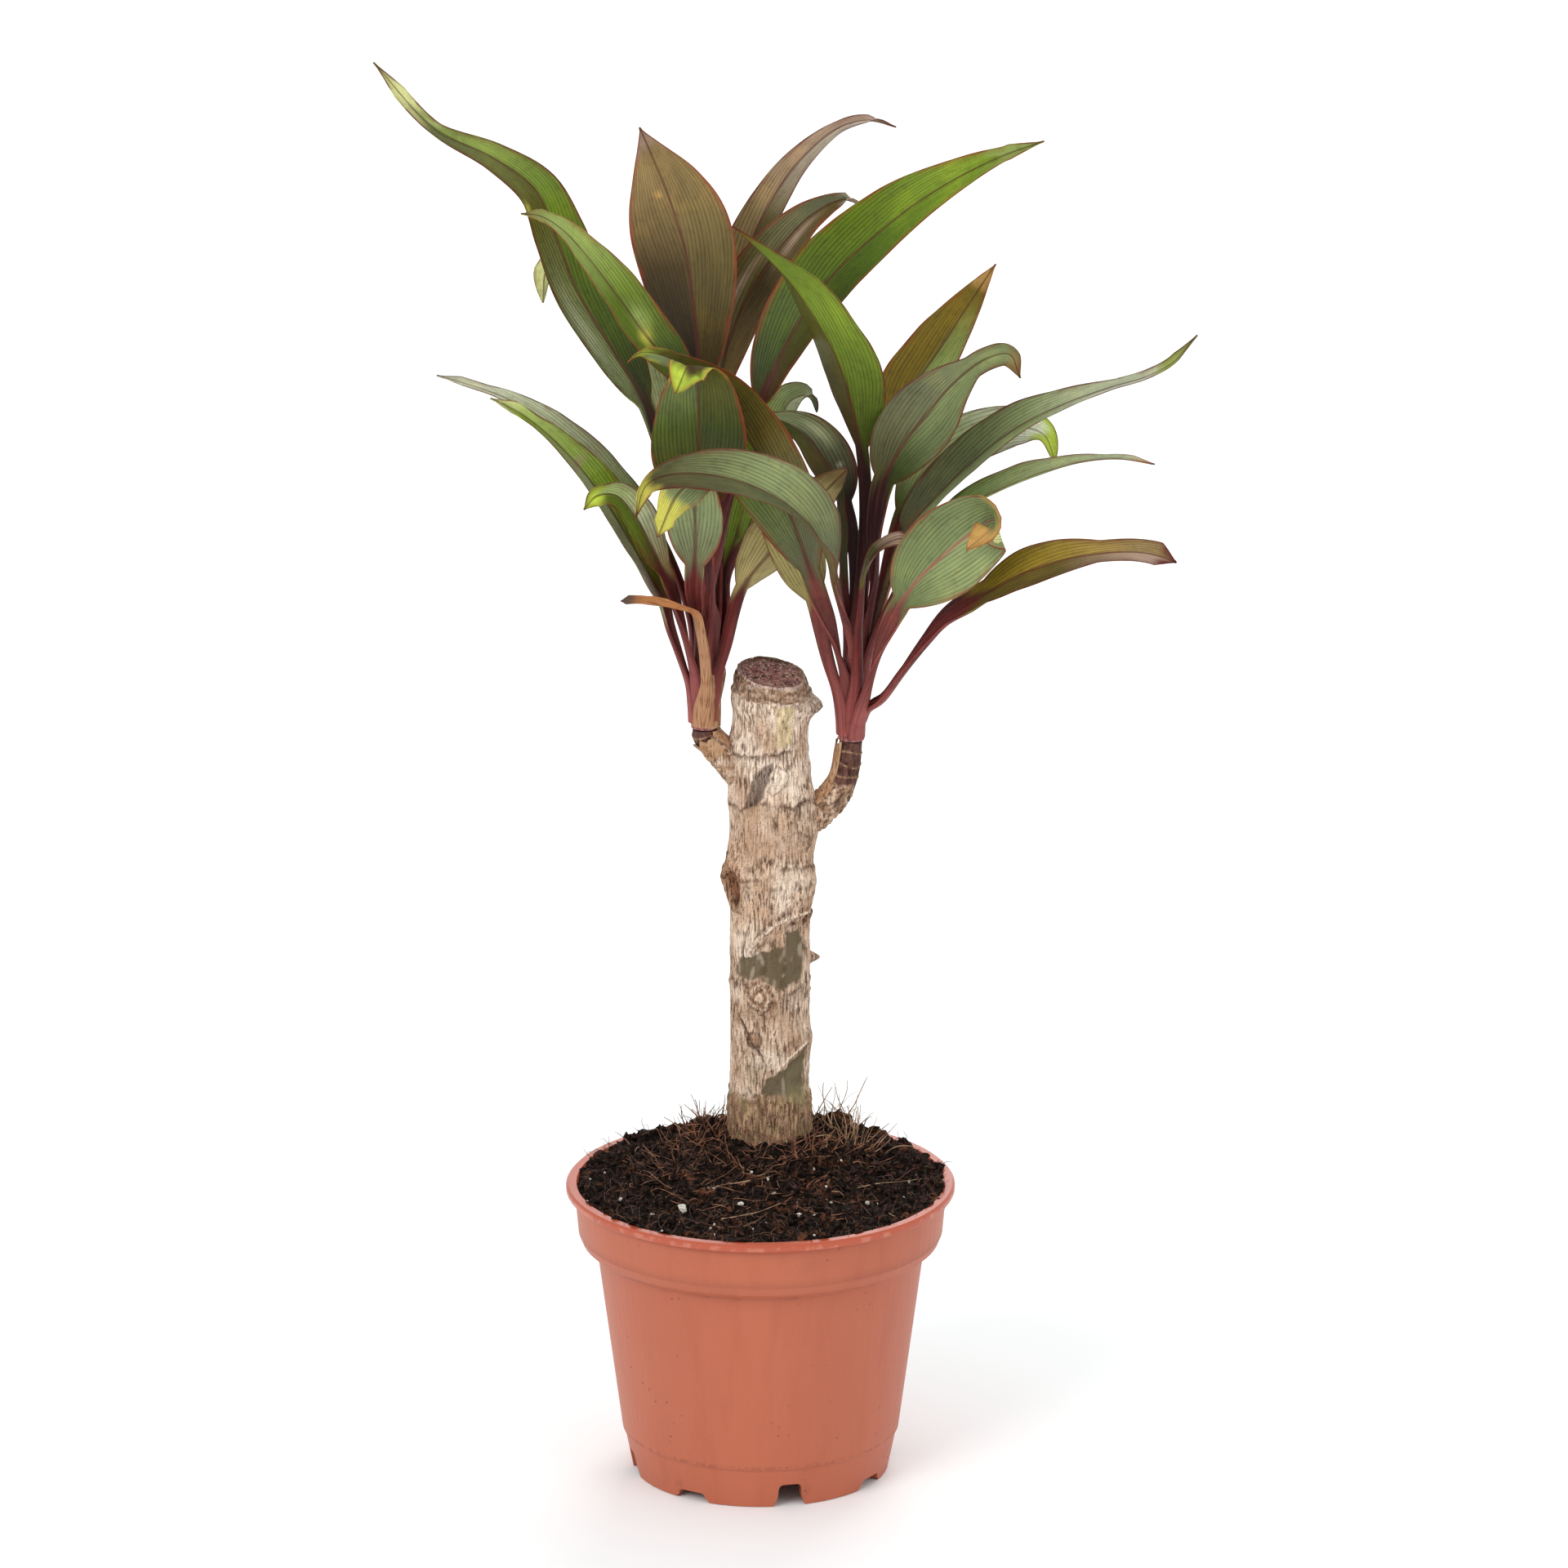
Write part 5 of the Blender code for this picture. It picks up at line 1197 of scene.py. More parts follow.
# %% The left shoot's leaves
INNER = 3.3
MIDDLE = 6.3
OUTER = 9.6
CROWN_RISE = 3.0
LEFT_LEAVES = {
    "leaf_left_01": dict(
        ring=INNER, up=24, around=180, blade=1, width=21, turn=(-50, -62), fold=30, widest=0.3, point=1.5,
        path=[(-30, 22, 319), (-35.4, 24, 336), (-45.3, 27, 353), (-56.2, 30, 371), (-62.8, 30, 389),
              (-68.5, 28, 403), (-81, 24, 414), (-99, 20, 424.5), (-117, 16, 446)]),
    "leaf_left_02": dict(
        ring=INNER, up=25, around=245, blade=1, width=20, turn=(-55, -50), fold=16, widest=0.36,
        path=[(-20, 13, 310), (-22, 10, 342), (-26, 8, 352), (-34, 6, 362), (-42, 4, 374), (-51, 2, 387),
              (-59, 0, 397), (-66, -4, 403), (-72, -8, 405)]),
    "leaf_left_03": dict(
        ring=INNER, up=26, around=108, heading=90, blade=2, width=32, turn=(0, 0), fold=14, widest=0.57,
        base=0.6, point=1.15,
        path=[(-17, 25, 300), (-17, 27, 320), (-18, 31, 337), (-20, 34, 360), (-23, 40, 381),
              (-28.7, 46, 398), (-32.8, 49, 407.5), (-37, 51, 417)]),
    "leaf_left_04": dict(
        ring=MIDDLE, up=14, around=285, heading=270, blade=0, width=30, turn=(180, 180), fold=14,
        widest=0.4, base=1.4, point=0.75,
        path=[(-17, -3, 308.6), (-18.5, -8, 327), (-18.5, -10, 343), (-19.3, -11.5, 355),
              (-21.5, -15, 359.2), (-25.5, -18, 351.4)]),
    "leaf_left_05": dict(
        ring=MIDDLE, up=13, around=232, heading=265, blade=1, width=18, stalk_top=6.2, turn=(180, 180),
        fold=14, widest=0.4, point=0.85,
        path=[(-20.5, 2, 283), (-20, -4, 292), (-19.7, -10, 305), (-20, -15, 316), (-21, -20, 323),
              (-25, -23, 321), (-31, -24, 308)]),
    "leaf_left_06": dict(
        ring=0, up=6, around=226, blade=2, width=14, stalk_top=6.4, turn=(-80, -80), fold=16,
        path=[(-20.8, 13.5, 253), (-23.8, 8.8, 268), (-29, 3, 287), (-33.5, -1, 299), (-39, -4, 310),
              (-44.5, -9, 317), (-50, -13, 317.6), (-53.5, -15, 314)]),
    "leaf_left_07": dict(
        ring=MIDDLE, up=12, around=165, blade=0, width=14, turn=(-22, -20), fold=18, widest=0.4, point=1.3,
        path=[(-30, 18, 293), (-37, 20, 304), (-47, 20, 315.5), (-60, 18, 328), (-77, 14, 340.7),
              (-98.5, 10, 349.5)]),
    "leaf_left_08": dict(
        ring=0, up=2, around=193, blade=3, width=17, stalk_top=5.6, turn=(-60, -50), fold=24, widest=0.35,
        point=1.1,
        path=[(-22.5, 17, 249), (-25.4, 15.5, 259), (-28.1, 13.5, 268), (-30, 10, 277), (-34, 6, 287),
              (-39.8, 4, 298.5), (-47.2, 2, 311.5), (-55, 1, 322.7), (-64, 0, 332.8), (-73, 0, 340.2),
              (-82, 0, 345)]),
    "leaf_left_09": dict(
        ring=MIDDLE, up=14, around=118, blade=0, width=19, turn=(0, 10), fold=16, point=0.7,
        path=[(-28, 42, 314), (-38, 50, 341), (-52, 56, 363), (-62, 56, 372), (-66, 54, 371),
              (-67, 52, 361)]),
    "leaf_left_10": dict(
        ring=MIDDLE, up=15, around=72, blade=2, width=15.5, turn=(-10, 10), fold=18, widest=0.33, base=0.7,
        point=1.1,
        path=[(-15.5, 36.5, 290), (-16, 44, 312), (-12.5, 54, 337), (-7, 65, 363.5), (0.2, 74, 381.5),
              (11.4, 80, 398), (24.5, 84, 408.5), (34, 84, 410.8), (42, 82, 409.3)]),
    "leaf_left_11": dict(
        ring=INNER, up=23, around=40, blade=2, width=19, turn=(0, 20), fold=18,
        path=[(-12.5, 24, 285), (-12, 29, 306), (-13.5, 38, 328), (-11, 46, 345), (-4.5, 53, 361.5),
              (5.5, 57, 376.5), (16, 58, 387.5), (26, 56, 392.8), (33, 54, 390.5)]),
    "leaf_left_12": dict(
        ring=INNER, up=25, around=318, blade=3, width=25.5, stalk_top=5.6, turn=(45, 48), fold=26,
        widest=0.36, point=1.0,
        path=[(-15, 15, 277), (-12, 13, 293), (-8, 12, 314), (0, 14, 338), (6, 19.5, 352.4),
              (13.5, 25, 364.8), (22.2, 25, 377), (34.2, 22, 389.4), (46.2, 18, 400.4), (58.8, 13, 410),
              (73, 9, 418.3), (86, 6, 424)]),
    "leaf_left_13": dict(
        ring=OUTER, up=5, around=58, blade=0, width=19, turn=(0, 20), fold=16, point=0.55,
        path=[(-11, 31, 280), (-8, 33, 290), (-4, 35, 300), (0, 36, 310), (5, 36, 324), (9.5, 35, 334.5),
              (15, 33.5, 336.2), (17.5, 32.5, 331.5)]),
    "leaf_left_14": dict(
        ring=0, up=3, around=305, blade=3, width=21, turn=(-62, -66), fold=18, point=0.8,
        path=[(-13, 14, 252), (-10, 10.5, 264), (-8, 9, 274), (-6, 9, 281), (-3, 10, 286), (4, 12, 294),
              (11, 13, 302), (19, 13, 311), (27, 11, 320)]),
    "leaf_left_15": dict(
        ring=MIDDLE, up=10, around=22, blade=1, width=10, turn=(0, 0), fold=20,
        path=[(-10, 23.5, 281), (-6, 25, 291), (-3, 26, 298), (0, 27, 306), (4, 28, 314)]),
    "leaf_left_dry": dict(
        ring=0, up=1, around=264, blade=3, width=6, clasp=8.5, stalk_top=4.3, stalk_thick=0.8, turn=(0, 60),
        fold=10,
        path=[(-16.8, 8.5, 250), (-17.6, 6, 262), (-19, 4, 271), (-20, 2.5, 275.5), (-22.5, 1, 277.5),
              (-30, -1, 280), (-36.5, -4, 282), (-42.5, -6, 282.5)]),
}
print("leaves on the left:", len(LEFT_LEAVES))

# %% The right shoot's leaves
RIGHT_LEAVES = {
    "leaf_right_01": dict(
        ring=0, up=9, around=240, blade=3, width=26, stalk_top=6.6, turn=(-125, -125), fold=14, widest=0.45,
        point=1.6,
        path=[(25.4, 13, 252.5), (22, 8.5, 267), (19, 4, 278), (16.3, -1, 288), (12, -6, 302),
              (7.5, -7, 314), (1.5, -4, 325), (-5.5, -1, 336), (-13.5, -1, 348.5), (-25, -6, 358.4),
              (-36, -9, 362), (-40, -10, 359)]),
    "leaf_right_02": dict(
        ring=0, up=15, around=272, blade=3, width=24, stalk_top=5.8, turn=(-66, -62), fold=34, widest=0.36,
        point=0.95,
        path=[(28.6, 8.5, 262), (26.2, 3, 271.5), (24.2, -3, 280.5), (22.3, -8.5, 289.5), (20.6, -14, 298),
              (15, -22, 311), (4, -28, 322), (-12, -31, 329), (-28, -33, 330), (-34.5, -34, 327),
              (-37.5, -36, 317.5)]),
    "leaf_right_03": dict(
        ring=INNER, up=22, around=270, blade=2, width=28, turn=(-6, -30), fold=18, base=1.0,
        path=[(31.5, 17.5, 290), (32, 17, 305), (31, 15, 323), (28, 9, 340.5), (24, 1.2, 355.9),
              (18, -4.5, 369.5), (9, -4, 383), (0, -5, 393), (-8, -7, 401)]),
    "leaf_right_04": dict(
        ring=MIDDLE, up=13, around=78, blade=1, width=22, turn=(0, 0), fold=16,
        path=[(33, 36, 285), (39, 52, 312), (45, 60, 328), (55, 68, 341), (64, 76, 353), (73, 80, 366)]),
    "leaf_right_05": dict(
        ring=INNER, up=21, around=335, blade=4, width=23, stalk_top=7.5, turn=(95, 95), fold=14,
        widest=0.35, point=2.5,
        path=[(34.2, 17, 274), (35.5, 14, 284), (35.4, 11, 297), (36.2, 9, 307), (37.8, 7, 316),
              (43, 5, 328), (51, 4, 339), (59, 3, 349), (69, 1, 357.3), (76, -2, 359.3), (79, -6, 353)]),
    "leaf_right_06": dict(
        ring=MIDDLE, up=14, around=18, blade=0, width=19, turn=(30, 30), fold=26, widest=0.3, base=0.5,
        point=2.0,
        path=[(45, 20, 296), (53, 19, 307), (64, 18, 318.7), (78, 16, 330.7), (93, 14, 339.2),
              (107, 12, 345), (118, 10, 349), (126, 8.5, 354), (133, 7, 363)]),
    "leaf_right_07": dict(
        ring=OUTER, up=5, around=48, blade=0, width=17, turn=(35, 70), fold=16, point=0.55,
        path=[(43, 33, 297), (48, 38, 307), (56, 42, 315), (68, 44, 321), (80, 42, 324), (87.3, 39, 322.3),
              (90.5, 36, 315)]),
    "leaf_right_08": dict(
        ring=MIDDLE, up=12, around=338, blade=0, width=18, turn=(20, 0), fold=16, widest=0.34, base=0.5,
        point=1.4,
        path=[(50, 9, 295), (60, 6, 306.8), (72, 3, 314.7), (84, 0, 320.7), (97, -3, 325.7),
              (109, -6, 327.7), (120, -8, 326.5)]),
    "leaf_right_09": dict(
        ring=0, up=1, around=292, blade=4, width=27, stalk_top=6.8, turn=(110, 110), fold=12, widest=0.45,
        point=0.72,
        path=[(32, 13, 243), (34.3, 9, 253), (37, 3, 264.5), (39.8, -2.5, 273.7), (42.6, -7, 281),
              (48, -13, 291.2), (56, -18, 300.7), (64, -22, 308.7), (71, -26.5, 314.3), (71, -31, 313.7),
              (62.5, -35, 307)]),
    "leaf_right_10": dict(
        ring=0, up=6, around=350, blade=4, width=15.5, stalk_top=9.0, turn=(58, 30), fold=16, widest=0.36,
        point=1.6,
        path=[(38, 12, 245.5), (43.8, 6, 255.7), (51, -2, 268), (57.5, -9, 278), (65.5, -16, 285.5),
              (79, -23, 295.7), (94, -28, 302.3), (109, -32, 305.5), (118, -34, 305.5), (126, -36, 303.5)]),
    "leaf_right_11": dict(
        ring=INNER, up=23, around=100, blade=2, width=17.5, turn=(-30, -30), fold=26,
        path=[(29, 26, 282), (27.7, 28, 296), (26.3, 29, 302), (24, 30, 309.5), (19.3, 29, 318),
              (14, 28, 325.3), (7, 27, 330), (0, 26, 332)]),
    "leaf_right_12": dict(
        ring=0, up=2, around=222, blade=3, width=16.5, turn=(50, 50), fold=16,
        path=[(23.5, 15, 246), (20.6, 14.5, 257), (18.6, 13.5, 267), (16.8, 11, 276), (14.5, 7, 284),
              (11, 3, 295), (6, 1, 304), (1, 3, 312), (-3, 4, 317)]),
    "leaf_right_13": dict(
        ring=INNER, up=20, around=195, blade=0, width=6, turn=(0, 0), fold=24,
        path=[(25.2, 20.5, 281), (24.5, 20.5, 293), (24, 20.5, 306), (23, 19.5, 317)]),
    "leaf_right_14": dict(
        ring=0, up=3, around=262, blade=4, width=6, turn=(60, 90), fold=24,
        path=[(29.8, 11, 251), (30.3, 6, 262), (30.5, 2.5, 270), (31, 0, 278), (31.5, -1.5, 287),
              (33, -3, 293), (36, -4, 298), (40, -4.5, 301), (44, -5, 302), (46, -5, 301)]),
}
print("leaves on the right:", len(RIGHT_LEAVES))

# %% [markdown]
# ## The colours of the leaves
# The plant is half grown into its red: the youngest leaves are green with light coming through, the old
# ones grey-green and waxy, some bronze, and most tips have dried to yellow. One colour and noise for all
# would lose that, so each leaf has its own: three colours along its upper face, three more for its far
# half where the two differ, one or three for its back, and one for its tip. On a few leaves some of these
# tones are paler or darker than the leaf itself, as painted light and painted shade, noted at each. stalk,
# rib, hem and margin are for those lines, and rosy says how pink the stalk is. Spots are marks that a
# single leaf has, each a place along and across the blade, a size along and across, and a colour; a few
# pale ones are painted sheen.

# %% Leaf colours
def wax_shade(red, green, blue):
    """A colour given as it should look on screen, less what the wax's sheen will add to it."""
    return tuple(max((value - SHEEN) / LIT, 0.003) for value in shade(red, green, blue)[:3]) + (1.0,)


SHEEN = 0.020
LIT = 0.90
WINE = wax_shade(56, 22, 16)
MAROON = wax_shade(92, 44, 38)
ROSE = wax_shade(150, 84, 82)
RED_EDGE = wax_shade(98, 42, 36)
RIB_DARK = wax_shade(84, 44, 36)
CRIMSON = wax_shade(132, 56, 44)
NIGHT = wax_shade(50, 44, 24)
COCOA = wax_shade(74, 62, 36)
SHADOW = wax_shade(62, 70, 30)
DEEP = wax_shade(76, 86, 42)
FERN = wax_shade(78, 98, 32)
MOSS = wax_shade(94, 112, 42)
GREEN = wax_shade(108, 126, 50)
BRIGHT = wax_shade(126, 148, 54)
LIGHT = wax_shade(154, 170, 98)
STONE = wax_shade(82, 80, 56)
SLATE = wax_shade(104, 106, 80)
SAGE = wax_shade(114, 124, 84)
GREY_GREEN = wax_shade(130, 140, 98)
PALE = wax_shade(156, 164, 122)
SILVER = wax_shade(178, 182, 150)
MIST = wax_shade(204, 208, 182)
OLIVE = wax_shade(94, 90, 42)
AMBER = wax_shade(126, 106, 38)
BRONZE = wax_shade(94, 82, 48)
COPPER = wax_shade(138, 116, 78)
MAUVE = wax_shade(164, 138, 122)
LIME = wax_shade(176, 196, 76)
YELLOW = wax_shade(206, 200, 96)
CREAM = wax_shade(218, 218, 156)
CORAL = wax_shade(206, 162, 98)
ASH = wax_shade(186, 172, 158)
DUSKY = wax_shade(122, 70, 66)
TAN_BACK = wax_shade(178, 162, 112)
OCHRE = wax_shade(152, 140, 92)
FROST = wax_shade(226, 228, 212)
PINE = wax_shade(58, 66, 28)

print("a green as it is painted:", np.round(GREEN[:3], 3))

# %% The left shoot's looks
# A leaf's look says only where it differs from the usual one.
USUAL_LOOK = dict(tip_from=0.93, stalk=MAROON, rosy=0.85, rib=RIB_DARK, hem=RED_EDGE, spots=())
LEFT_LOOKS = {
    # The grey GREY_GREEN base of its far half and the SILVER spot on it are painted sheen; the yellow spot is
    # a mark.
    "leaf_left_01": dict(
        face=(SHADOW, MOSS, LIGHT), far=(GREY_GREEN, OLIVE, SAGE), back=GREEN, tip=CREAM, tip_from=0.84,
        stalk=WINE, rosy=0.3, spots=[(0.52, 0.86, 0.02, 0.12, YELLOW), (0.2, 0.6, 0.10, 0.25, SILVER)]),
    "leaf_left_02": dict(
        face=(PINE, GREEN, LIGHT), far=(MOSS, MOSS, LIGHT), back=GREEN, tip=LIGHT, hem=CRIMSON,
        spots=[(0.3, 0.1, 0.035, 0.3, YELLOW), (0.36, -0.2, 0.05, 0.3, LIGHT)]),
    "leaf_left_03": dict(
        face=(COCOA, BRONZE, COPPER), far=(NIGHT, COCOA, COPPER), back=BRONZE, tip=MAUVE, hem=CRIMSON,
        spots=[(0.75, 0.25, 0.012, 0.08, CORAL)]),
    "leaf_left_04": dict(
        face=(COCOA, SHADOW, OLIVE), far=(COCOA, DEEP, SAGE), back=COCOA, tip=LIME, tip_from=0.87,
        margin=YELLOW, hem=CRIMSON),
    "leaf_left_05": dict(
        face=(SLATE, GREY_GREEN, GREY_GREEN), back=GREY_GREEN, tip=YELLOW, tip_from=0.78, hem=CRIMSON),
    "leaf_left_06": dict(
        face=(COPPER, SILVER, LIGHT), far=(MAROON, GREEN, GREEN), back=GREEN, tip=LIME, tip_from=0.85),
    # Its face grows paler upwards (SILVER, MIST) and its tip is MIST: painted light, as the leaf faces down
    # into shade.
    "leaf_left_07": dict(
        face=(GREEN, SILVER, MIST), back=GREEN, tip=MIST, spots=[(0.38, 0.0, 0.03, 0.5, MAUVE)]),
    # Its far half is painted pale (ASH, SILVER): painted light for a half that lies in shade.
    "leaf_left_08": dict(
        face=(OLIVE, BRIGHT, LIGHT), far=(ASH, SILVER, BRIGHT), back=GREEN, tip=CREAM, stalk=DUSKY,
        spots=[(0.62, 0.0, 0.015, 0.6, MAUVE)]),
    "leaf_left_09": dict(face=(PALE, PALE, GREEN), back=GREY_GREEN, tip=CREAM, tip_from=0.75),
    "leaf_left_10": dict(face=(BRONZE, BRONZE, ASH), far=(BRONZE, COPPER, MAUVE), back=BRONZE, tip=MAUVE),
    # The COPPER at the base of its face is lighter than the leaf there: painted light where it lies in shade.
    "leaf_left_11": dict(
        face=(COPPER, COCOA, BRONZE), far=(SLATE, BRONZE, SLATE), back=BRONZE, tip=ASH, hem=CRIMSON,
        spots=[(0.45, 0.4, 0.12, 0.12, MAUVE), (0.7, -0.3, 0.10, 0.15, MAUVE)]),
    "leaf_left_12": dict(
        face=(COCOA, FERN, BRIGHT), far=(SHADOW, MOSS, BRIGHT), back=GREEN, tip=LIGHT, tip_from=0.88,
        hem=CRIMSON),
    "leaf_left_13": dict(
        face=(MOSS, BRIGHT, SILVER), far=(BRIGHT, BRIGHT, GREY_GREEN), back=BRIGHT, tip=SLATE),
    "leaf_left_14": dict(face=(GREEN, GREEN, MOSS), back=TAN_BACK, tip=COPPER, tip_from=0.85),
    "leaf_left_15": dict(face=(BRIGHT, BRIGHT, MOSS), far=(GREEN, BRIGHT, MOSS), back=MOSS, tip=MOSS),
}
print("looks on the left:", len(LEFT_LOOKS))

# %% The right shoot's looks
RIGHT_LOOKS = {
    "leaf_right_01": dict(
        face=(SLATE, BRONZE, OLIVE), far=(SLATE, MOSS, GREY_GREEN), back=MOSS, tip=LIME, tip_from=0.93,
        hem=CRIMSON, stalk=DUSKY, rosy=0.45),
    "leaf_right_02": dict(
        face=(SLATE, GREY_GREEN, STONE), far=(SLATE, SLATE, STONE), back=BRONZE, tip=YELLOW, tip_from=0.89,
        stalk=DUSKY),
    "leaf_right_03": dict(
        face=(MOSS, MOSS, GREEN), back_near=(COCOA, OLIVE, DEEP), back_far=(DEEP, GREEN, GREEN), back=DEEP,
        tip=AMBER, stalk=WINE, rosy=0.2),
    "leaf_right_04": dict(
        face=(LIGHT, LIGHT, AMBER), far=(AMBER, AMBER, AMBER), back=OLIVE, tip=CORAL, tip_from=0.89,
        hem=CRIMSON),
    "leaf_right_05": dict(
        face=(SHADOW, SAGE, GREY_GREEN), far=(STONE, SLATE, GREY_GREEN), back=MOSS, tip=COPPER,
        tip_from=0.9, stalk=WINE, rosy=0.5),
    # The FROST at the top of its face is paler than the leaf: painted light where it lies in shade.
    "leaf_right_06": dict(
        face=(GREY_GREEN, GREY_GREEN, FROST), far=(SLATE, GREY_GREEN, MIST), back=GREEN, tip=LIGHT,
        tip_from=0.86, stalk=COPPER),
    "leaf_right_07": dict(
        face=(DEEP, GREY_GREEN, FROST), far=(DEEP, PALE, FROST), back=GREEN, back_near=(DEEP, GREEN, LIME),
        tip=LIME, tip_from=0.85),
    "leaf_right_08": dict(face=(FERN, GREY_GREEN, PALE), back=GREEN, tip=CORAL, tip_from=0.94),
    # SAGE at the base of its face and over its far half is darker than its grey-green: painted shade, as this
    # leaf faces the light.
    "leaf_right_09": dict(
        face=(SAGE, GREY_GREEN, GREY_GREEN), far=(SAGE, SAGE, SAGE), back=SAGE,
        back_near=(SAGE, SAGE, CREAM), tip=CORAL, tip_from=0.84, rib=ROSE, hem=CRIMSON, stalk=DUSKY),
    "leaf_right_10": dict(
        face=(BRONZE, BRONZE, MAUVE), far=(AMBER, AMBER, COPPER), back=OLIVE, tip=RED_EDGE, tip_from=0.95),
    # Its pale ASH and SILVER spots are painted sheen.
    "leaf_right_11": dict(
        face=(NIGHT, SLATE, PALE), far=(NIGHT, BRONZE, DEEP), back=DEEP, tip=PALE, stalk=WINE, rosy=0.0,
        spots=[(0.3, -0.4, 0.02, 0.1, ASH), (0.6, -0.5, 0.12, 0.2, SILVER)]),
    "leaf_right_12": dict(face=(PALE, PALE, PALE), back=OCHRE, tip=PALE, stalk=DUSKY),
    "leaf_right_13": dict(face=(SHADOW, SHADOW, SHADOW), back=OLIVE, tip=DEEP, rosy=0.1),
    "leaf_right_14": dict(face=(SLATE, STONE, MAUVE), back=OLIVE, tip=COPPER, rosy=0.45),
}
print("looks on the right:", len(RIGHT_LOOKS))

# %% A leaf's route
# A leaf's table says only where it differs from the usual leaf.
USUAL_LEAF = dict(widest=0.42, base=0.9, point=1.0, clasp=7.0, stalk_top=4.8, stalk_thick=1.5)
CLEARANCE = 0.35
SEAT_OUT = 0.7
LIFT_OFF = np.array([0.0, 0.0, 0.6])
FIRST_STEP = 3.0


def rooted_path(leaf, stem):
    """A leaf's whole route: off its stem, through its place in the crown, and on along its own points."""
    stem = np.array(stem, float)
    around = math.radians(leaf["around"])
    out = np.array([math.cos(around), math.sin(around), 0.0])
    height = stem[0, 2] + leaf["up"]
    seat = read_off(height, stem[:, 2], stem)
    seat += out * (np.interp(height, stem[:, 2], STEM_RADII) + CLEARANCE + SEAT_OUT)
    route = [np.array(point, float) for point in leaf["path"]]
    if leaf["ring"]:
        route = [stem[-1] + out * leaf["ring"] + np.array([0.0, 0.0, CROWN_RISE])] + route
    step = (route[0] - seat) / np.linalg.norm(route[0] - seat)
    return [seat, seat + (step + LIFT_OFF) * FIRST_STEP] + route


# %% A leaf's frame
STALK_ROWS = 30
BLADE_ROWS = 72
PER_SPAN = 16


def blade_share(u, widest, base, point):
    """The blade's width at u, from its base at 0 to its tip at 1, as a share of the widest."""
    s = np.clip(u, 0.0, 1.0) ** (math.log(0.5) / math.log(widest))
    rise = np.maximum(np.sin(math.pi * s), 0.0)
    return np.where(s < 0.5, rise**base, rise**point)


def leaf_frame(leaf, stem):
    """Places along a leaf, the directions across it and up from its face, and where each place is."""
    path = rooted_path(leaf, stem)
    curve = spline(path, PER_SPAN)
    start = (leaf["blade"] + len(path) - len(leaf["path"])) * PER_SPAN
    length = run_along(curve)
    travelled = np.concatenate([
        np.linspace(0, length[start], STALK_ROWS, endpoint=False),
        np.linspace(length[start], length[-1], BLADE_ROWS),
    ])
    spots = read_off(travelled, length, curve)
    tangents = read_off(travelled, length, np.gradient(curve, axis=0))
    tangents /= np.linalg.norm(tangents, axis=1)[:, None]
    u = (travelled - length[start]) / (length[-1] - length[start])
    v = np.clip(travelled / length[start], 0.0, 1.0)

    middle = curve[(start + len(curve)) // 2]
    heading = math.atan2(middle[1] - path[0][1], middle[0] - path[0][0])
    if "heading" in leaf:
        heading = math.radians(leaf["heading"])
    root_turn = (math.radians(leaf["around"]) - heading + math.pi) % (2 * math.pi) - math.pi
    base_turn, tip_turn = (math.radians(angle) for angle in leaf["turn"])
    whole = 2 * math.pi * round((root_turn - base_turn) / (2 * math.pi))
    stalk_turn = root_turn + (base_turn + whole - root_turn) * ease(v, 0, 1)
    turn = np.where(u < 0, stalk_turn, base_turn + whole + (tip_turn - base_turn) * np.clip(u, 0, 1))[:, None]
    level_side = np.array([-math.sin(heading), math.cos(heading), 0.0])
    sides = level_side - tangents * (tangents @ level_side)[:, None]
    sides /= np.linalg.norm(sides, axis=1)[:, None]
    ups = np.cross(tangents, sides)
    turned_sides = sides * np.cos(turn) + ups * np.sin(turn)
    turned_ups = ups * np.cos(turn) - sides * np.sin(turn)
    return spots, turned_sides, turned_ups, u, v, travelled - length[start]


# %% A leaf's skin
STALK_WIDTH = 4.4
BLADE_THICK = 0.42
ACROSS = 25


